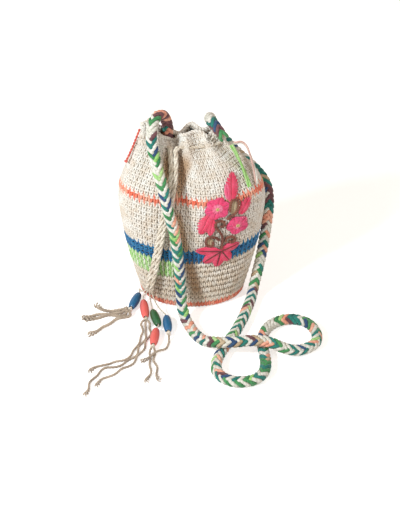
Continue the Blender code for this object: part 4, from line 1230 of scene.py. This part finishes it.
def make_scroll(name, node_name, points, fill=None):
    """A brown scroll cord, with tan stitches inside it where a fill is given."""
    x, z = zip(*points)
    line = smooth_line(on_front(x, z, np.full(len(points), 2.0)), 0.8)
    parts = [(rope(line, SCROLL_DIAMETER, 2, SCROLL_LAY, (0, -1, 0)), 0)]
    if fill:
        parts.append((petals_shape([(dict(fill, puff=0.9), 0)]), 1))
    add_piece(name, joined(parts), ["maroon_thread", "tan_thread"], nodes=[node_name])


SCROLL_DIAMETER, SCROLL_LAY = 4.2, 7.0
SCROLLS = {
    "applique_upper_scroll": [
        (46.6, 151), (46.9, 158), (48.2, 164), (52, 166.4), (56, 164), (57.8, 157.5), (56.2, 151), (52.4, 146),
        (47.4, 142.2), (43.8, 139.8),
    ],
    "applique_stem": [
        (36.6, 95.6), (37, 99), (37.6, 105), (38, 111), (36.8, 117), (34, 122.6), (31, 127.4), (29.2, 132),
        (30.4, 136.6), (34.4, 138.4), (38.6, 137), (40.4, 133.2), (38.6, 129.6), (35.4, 130.2),
    ],
    "applique_left_curl": [
        (33.6, 109), (30, 113.2), (24.5, 114.8), (19.4, 113.4), (17.2, 108.6), (18.6, 103.4), (23, 101.4),
        (26.8, 103.4), (26, 107.2),
    ],
    "applique_right_curl": [
        (41.6, 105.6), (42.6, 110), (46.4, 112), (50.6, 111.4), (53.4, 108), (52.6, 104.2), (49, 103.2),
        (46.8, 105.6),
    ],
}
FILLS = {
    "applique_upper_scroll": dict(base=(50.5, 146.5), tip=(52.4, 166), half_width=4.6, start_width=0.4),
    "applique_left_curl": dict(base=(22, 101), tip=(23, 113.5), half_width=4.6, start_width=0.5),
}
# Each leaf's petals as base, tip, half width, other settings and colour number (0 crimson, 1 light rose)
LEAVES = {
    "top_leaf": [
        ((49, 165), (48.5, 200.5), 7.8, dict(start_width=0.5, jag=0.3), 0),
        ((44.5, 168), (42, 189), 3.4, dict(lift=1.2, jag=0.2), 1)],
    "left_leaf": [
        ((22, 148), (10.5, 119.5), 8.0, dict(start_width=0.5, jag=0.3), 0),
        ((26, 141), (22.5, 117), 5.6, dict(start_width=0.4), 0)],
    "right_leaf": [((60, 144), (70, 165), 6.8, dict(start_width=0.5, jag=0.3), 0)],
    "fan": [(base, tip, half_width, dict(start_width=0.4), 0) for base, tip, half_width in (
        ((35, 92), (4.5, 95.5), 6.6), ((35, 91), (14, 76), 7.8), ((36, 93), (31, 67.5), 8.0),
        ((37, 92), (47.5, 74.5), 7.6), ((37, 92), (59.5, 99.5), 6.8))],
}
FLOWERS = {  # centre, reach, number of petals, angle of the first and half width
    "left_flower": ((31.5, 156.5), 16.2, 6, 15, 7.8),
    "right_flower": ((56.5, 128), 14.4, 5, 40, 7.8),
}
MIDRIB = 2  # its colour number


def make_applique():
    """The flowers, the leaves, the fan and the scrolls sewn on the front."""
    for name, settings in FLOWERS.items():
        make_flower(name, "applique_" + name, *settings)
    for name, petals in LEAVES.items():
        specs = [(dict(more, base=base, tip=tip, half_width=width), look)
                 for base, tip, width, more, look in petals]
        add_piece(name, petals_shape(specs, MIDRIB if name == "fan" else None),
                  ["crimson_thread", "light_rose_thread", "dark_crimson_thread"],
                  nodes=["applique_" + name])
    for name, points in SCROLLS.items():
        make_scroll(name.replace("applique_", "") + "_look", name, points, FILLS.get(name))


make_applique()
